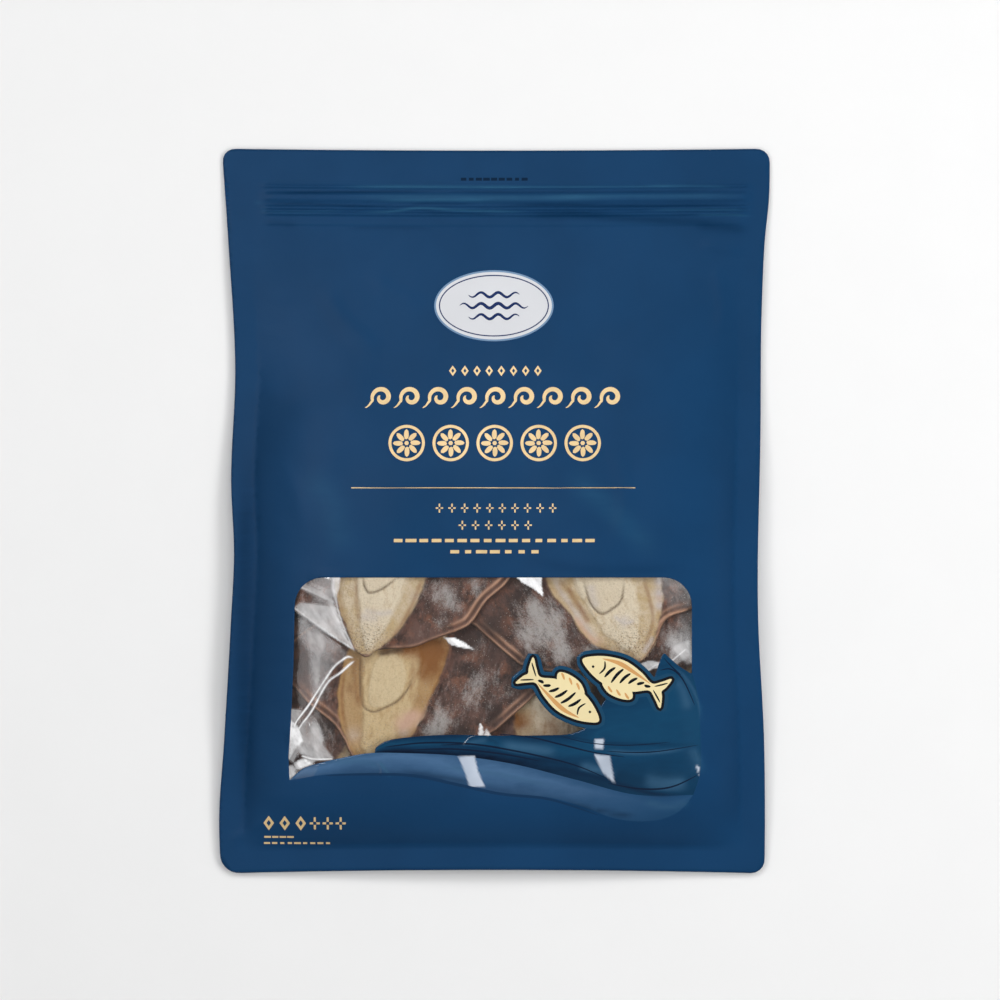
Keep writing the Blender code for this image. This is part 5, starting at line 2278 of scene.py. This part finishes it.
@dataclass
class Studio:
    """The pale floor, the soft lights and the camera that looks straight down."""

    camera_height: float = 5.0
    sky_brightness: float = 0.24
    view_width: float = 0.511
    focus_height: float = 0.004
    view_middle: tuple[float, float] = (0.0028, 0.0056)
    floor_size: float = 9.0
    lights: Sequence[SoftBox] = (
        SoftBox("left_softbox", (-0.74, 0, 1.05), (0.46, 1.3), 1.3, mirrored=True, spread=False),
        SoftBox("left_strip", (-0.46, 0.46, 1.05), (0.13, 0.7), 22, mirrored=True, spread=False),
        SoftBox("left_fill", (-0.76, 0.1, 1.05), (0.46, 1.3), 2.5),
        SoftBox("right_softbox", (0.86, 0.1, 0.95), (0.5, 1.3), 4.6),
        SoftBox("foot_softbox", (0, -0.82, 1.05), (0.4, 0.9), 2.2),
        SoftBox("head_softbox", (0, 0.82, 1.05), (0.4, 0.9), 3.9),
    )

    def build(self) -> None:
        """Makes the floor, lights, sky and camera."""
        scene = bpy.context.scene
        scene.view_settings.view_transform = "Standard"
        half = self.floor_size / 2
        corners = np.array(((-half, -half), (half, -half), (half, half), (-half, half)))
        finish = PlainFinish("pale_floor", (0.86, 0.86, 0.86), 0.8, 0.05, 0.01, 0.0)
        triangles = np.array([[0, 1, 2], [0, 2, 3]])
        floor = make_object("floor", corners, np.zeros(4), triangles, [finish.material()])
        for light in self.lights:
            light.build()
        world = bpy.data.worlds.new("plain_sky")
        scene.world = world
        world.use_nodes = True
        sky = world.node_tree.nodes["Background"]
        sky.inputs["Color"].default_value = (1.0, 1.0, 1.0, 1.0)
        sky.inputs["Strength"].default_value = self.sky_brightness
        self.build_camera()

    def build_camera(self) -> None:
        """Makes the camera, whose lens takes in the photographed width at the pouch."""
        data = bpy.data.cameras.new("camera")
        data.sensor_width = 36.0
        data.lens = data.sensor_width * (self.camera_height - self.focus_height) / self.view_width
        data.clip_end = 30.0
        camera = linked_object("camera", data)
        camera.location = (*self.view_middle, self.camera_height)
        bpy.context.scene.camera = camera


@dataclass
class Pouch:
    """The whole pouch: film, window, contents and printed marks."""

    form: PouchForm = field(default_factory=lambda: PouchForm().centred())
    pieces: list[bpy.types.Object] = field(default_factory=list)

    def inks(self) -> dict[Ink, bpy.types.Material]:
        """The material of each field of the front."""
        crest = WaveFinish(
            "wave_crest_ink",
            0.0,
            ((0.0, (0.020, 0.062, 0.140)), (0.35, (0.038, 0.100, 0.205)), (0.7, (0.060, 0.136, 0.262)),
             (1.0, (0.034, 0.092, 0.190))),
            (0.009, 0.057, 0.142),
            0.85,
        )
        deep = WaveFinish(
            "wave_deep_ink",
            1.0,
            ((0.0, (0.001, 0.007, 0.022)), (0.14, (0.002, 0.016, 0.044)), (0.34, (0.003, 0.031, 0.078)),
             (0.62, (0.005, 0.053, 0.118)), (0.85, (0.003, 0.036, 0.088)), (1.0, (0.002, 0.024, 0.064))),
            (0.004, 0.052, 0.122),
            0.6,
        )
        # Inks of the lines painted lighter and darker on the matt film: painted highlights and painted
        # shade.
        streaked = {"lighter_and_highlight_ink": (0.018, 0.084, 0.172), "darker_and_shade_ink": (0.001, 0.024, 0.072)}
        matt = FilmFinish("matt_navy_film", (0.0072, 0.0445, 0.1190), **streaked)
        glossy = {"roughness": 0.12, "specular": 0.28, "mottle": 0.04}
        glossy |= {"grain_depth": 0.0, "ripple_depth": 0.0001}
        finishes = {
            Ink.MATT: matt,
            Ink.WAVE_DEEP: deep,
            Ink.WAVE_CREST: crest,
            Ink.WAVE_LINE: FilmFinish("wave_line_ink", (0.003, 0.012, 0.034), **glossy),
            Ink.WAVE_SHADE: FilmFinish("wave_shade_ink", (0.0075, 0.034, 0.088)),
            Ink.BADGE: FilmFinish("badge_white_ink", (0.66, 0.67, 0.70), mottle=0.02),
            Ink.BADGE_RIM: FilmFinish("badge_rim_ink", (0.17, 0.28, 0.43), mottle=0.03),
            Ink.NAVY: FilmFinish("badge_navy_ink", (0.012, 0.028, 0.110), mottle=0.05),
            Ink.HALO: FilmFinish("halo_blue_ink", (0.009, 0.056, 0.118), **glossy),
            Ink.CREAM: FilmFinish("fish_cream_ink", (0.80, 0.68, 0.39), **glossy),
            Ink.AMBER: FilmFinish("fish_amber_ink", (0.62, 0.33, 0.120), **glossy),
            Ink.BLACK: FilmFinish("fish_black_ink", (0.006, 0.007, 0.010), **glossy),
            Ink.INNER: PlainFinish("film_inner_face", (0.42, 0.44, 0.47), 0.35),
            Ink.CLEAR: ClearFinish(),
        }
        return {ink: finish.material() for ink, finish in finishes.items()}

    def keep(self, piece: bpy.types.Object, stands_for: bool = False) -> None:
        """Ties a finished piece to the frame and reports it.

        Args:
            piece: The piece.
            stands_for: Whether it replaces the pouch's solid.
        """
        if stands_for:
            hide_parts("pouch")
        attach(piece, "root")
        self.pieces.append(piece)
        log.info("%s: %d faces", piece.name, len(piece.data.polygons))

    def build(self) -> None:
        """Makes every piece of the pouch."""
        relief = FrontRelief(self.form, CREASES)
        film = Film(
            self.form,
            relief,
            FrontPrint(),
            # Painted glare, painted highlights, and lines of painted light and shade with some print
            glare_patches=[PaintedGlarePatch(corners, soft) for soft, *corners in PAINTED_GLARE_PATCHES],
            painted_highlights=[PaintedGlarePatch(corners, soft) for soft, *corners in PAINTED_HIGHLIGHTS],
            streaked=[Streak(line, reach, strength, fade=0.25) for reach, strength, line in HIGHLIGHT_SHADE_AND_INK_LINES],
        )
        inks = self.inks()
        printed, window = film.front_pieces(inks)
        self.keep(printed, stands_for=True)
        self.keep(window, stands_for=True)
        self.keep(film.back_piece(inks[Ink.MATT]), stands_for=True)
        grains = scattered_grains()
        chalk = PlainFinish("bloom_grains", (0.44, 0.40, 0.35), 0.8, 0.0006, 0.3).material()
        for cuttlefish in CATCH:
            body = cuttlefish.build(relief)
            self.keep(body, stands_for=True)
            if cuttlefish.depth < DEEPEST_DUSTED:
                values = {"density": GRAIN_DENSITY, "size": GRAIN_SIZE, "ink": chalk}
                dusting = grains.run(body, values | {"seed": int(cuttlefish.seed)})
                dust = linked_object(f"{cuttlefish.name}_grains", dusting)
                self.keep(dust)
        marks = PrintedMarks(relief)
        gold = PlainFinish("gold_ink", (0.80, 0.585, 0.300), 0.42, 0.004, 0.10, metallic=0.15).material()
        dark = FilmFinish("dark_ink", (0.0015, 0.0150, 0.0420)).material()
        for piece in marks.build(GOLD_ROWS, gold):
            self.keep(piece)
        for piece in marks.build(DARK_ROWS, dark):
            self.keep(piece)


def main() -> None:
    """Loads the frame and builds the pouch and its studio."""
    logging.basicConfig(level=logging.INFO, format="%(name)s %(message)s")
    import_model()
    Studio().build()
    pouch = Pouch()
    pouch.build()
    log.info("%d pieces", len(pouch.pieces))


if __name__ == "__main__":
    main()
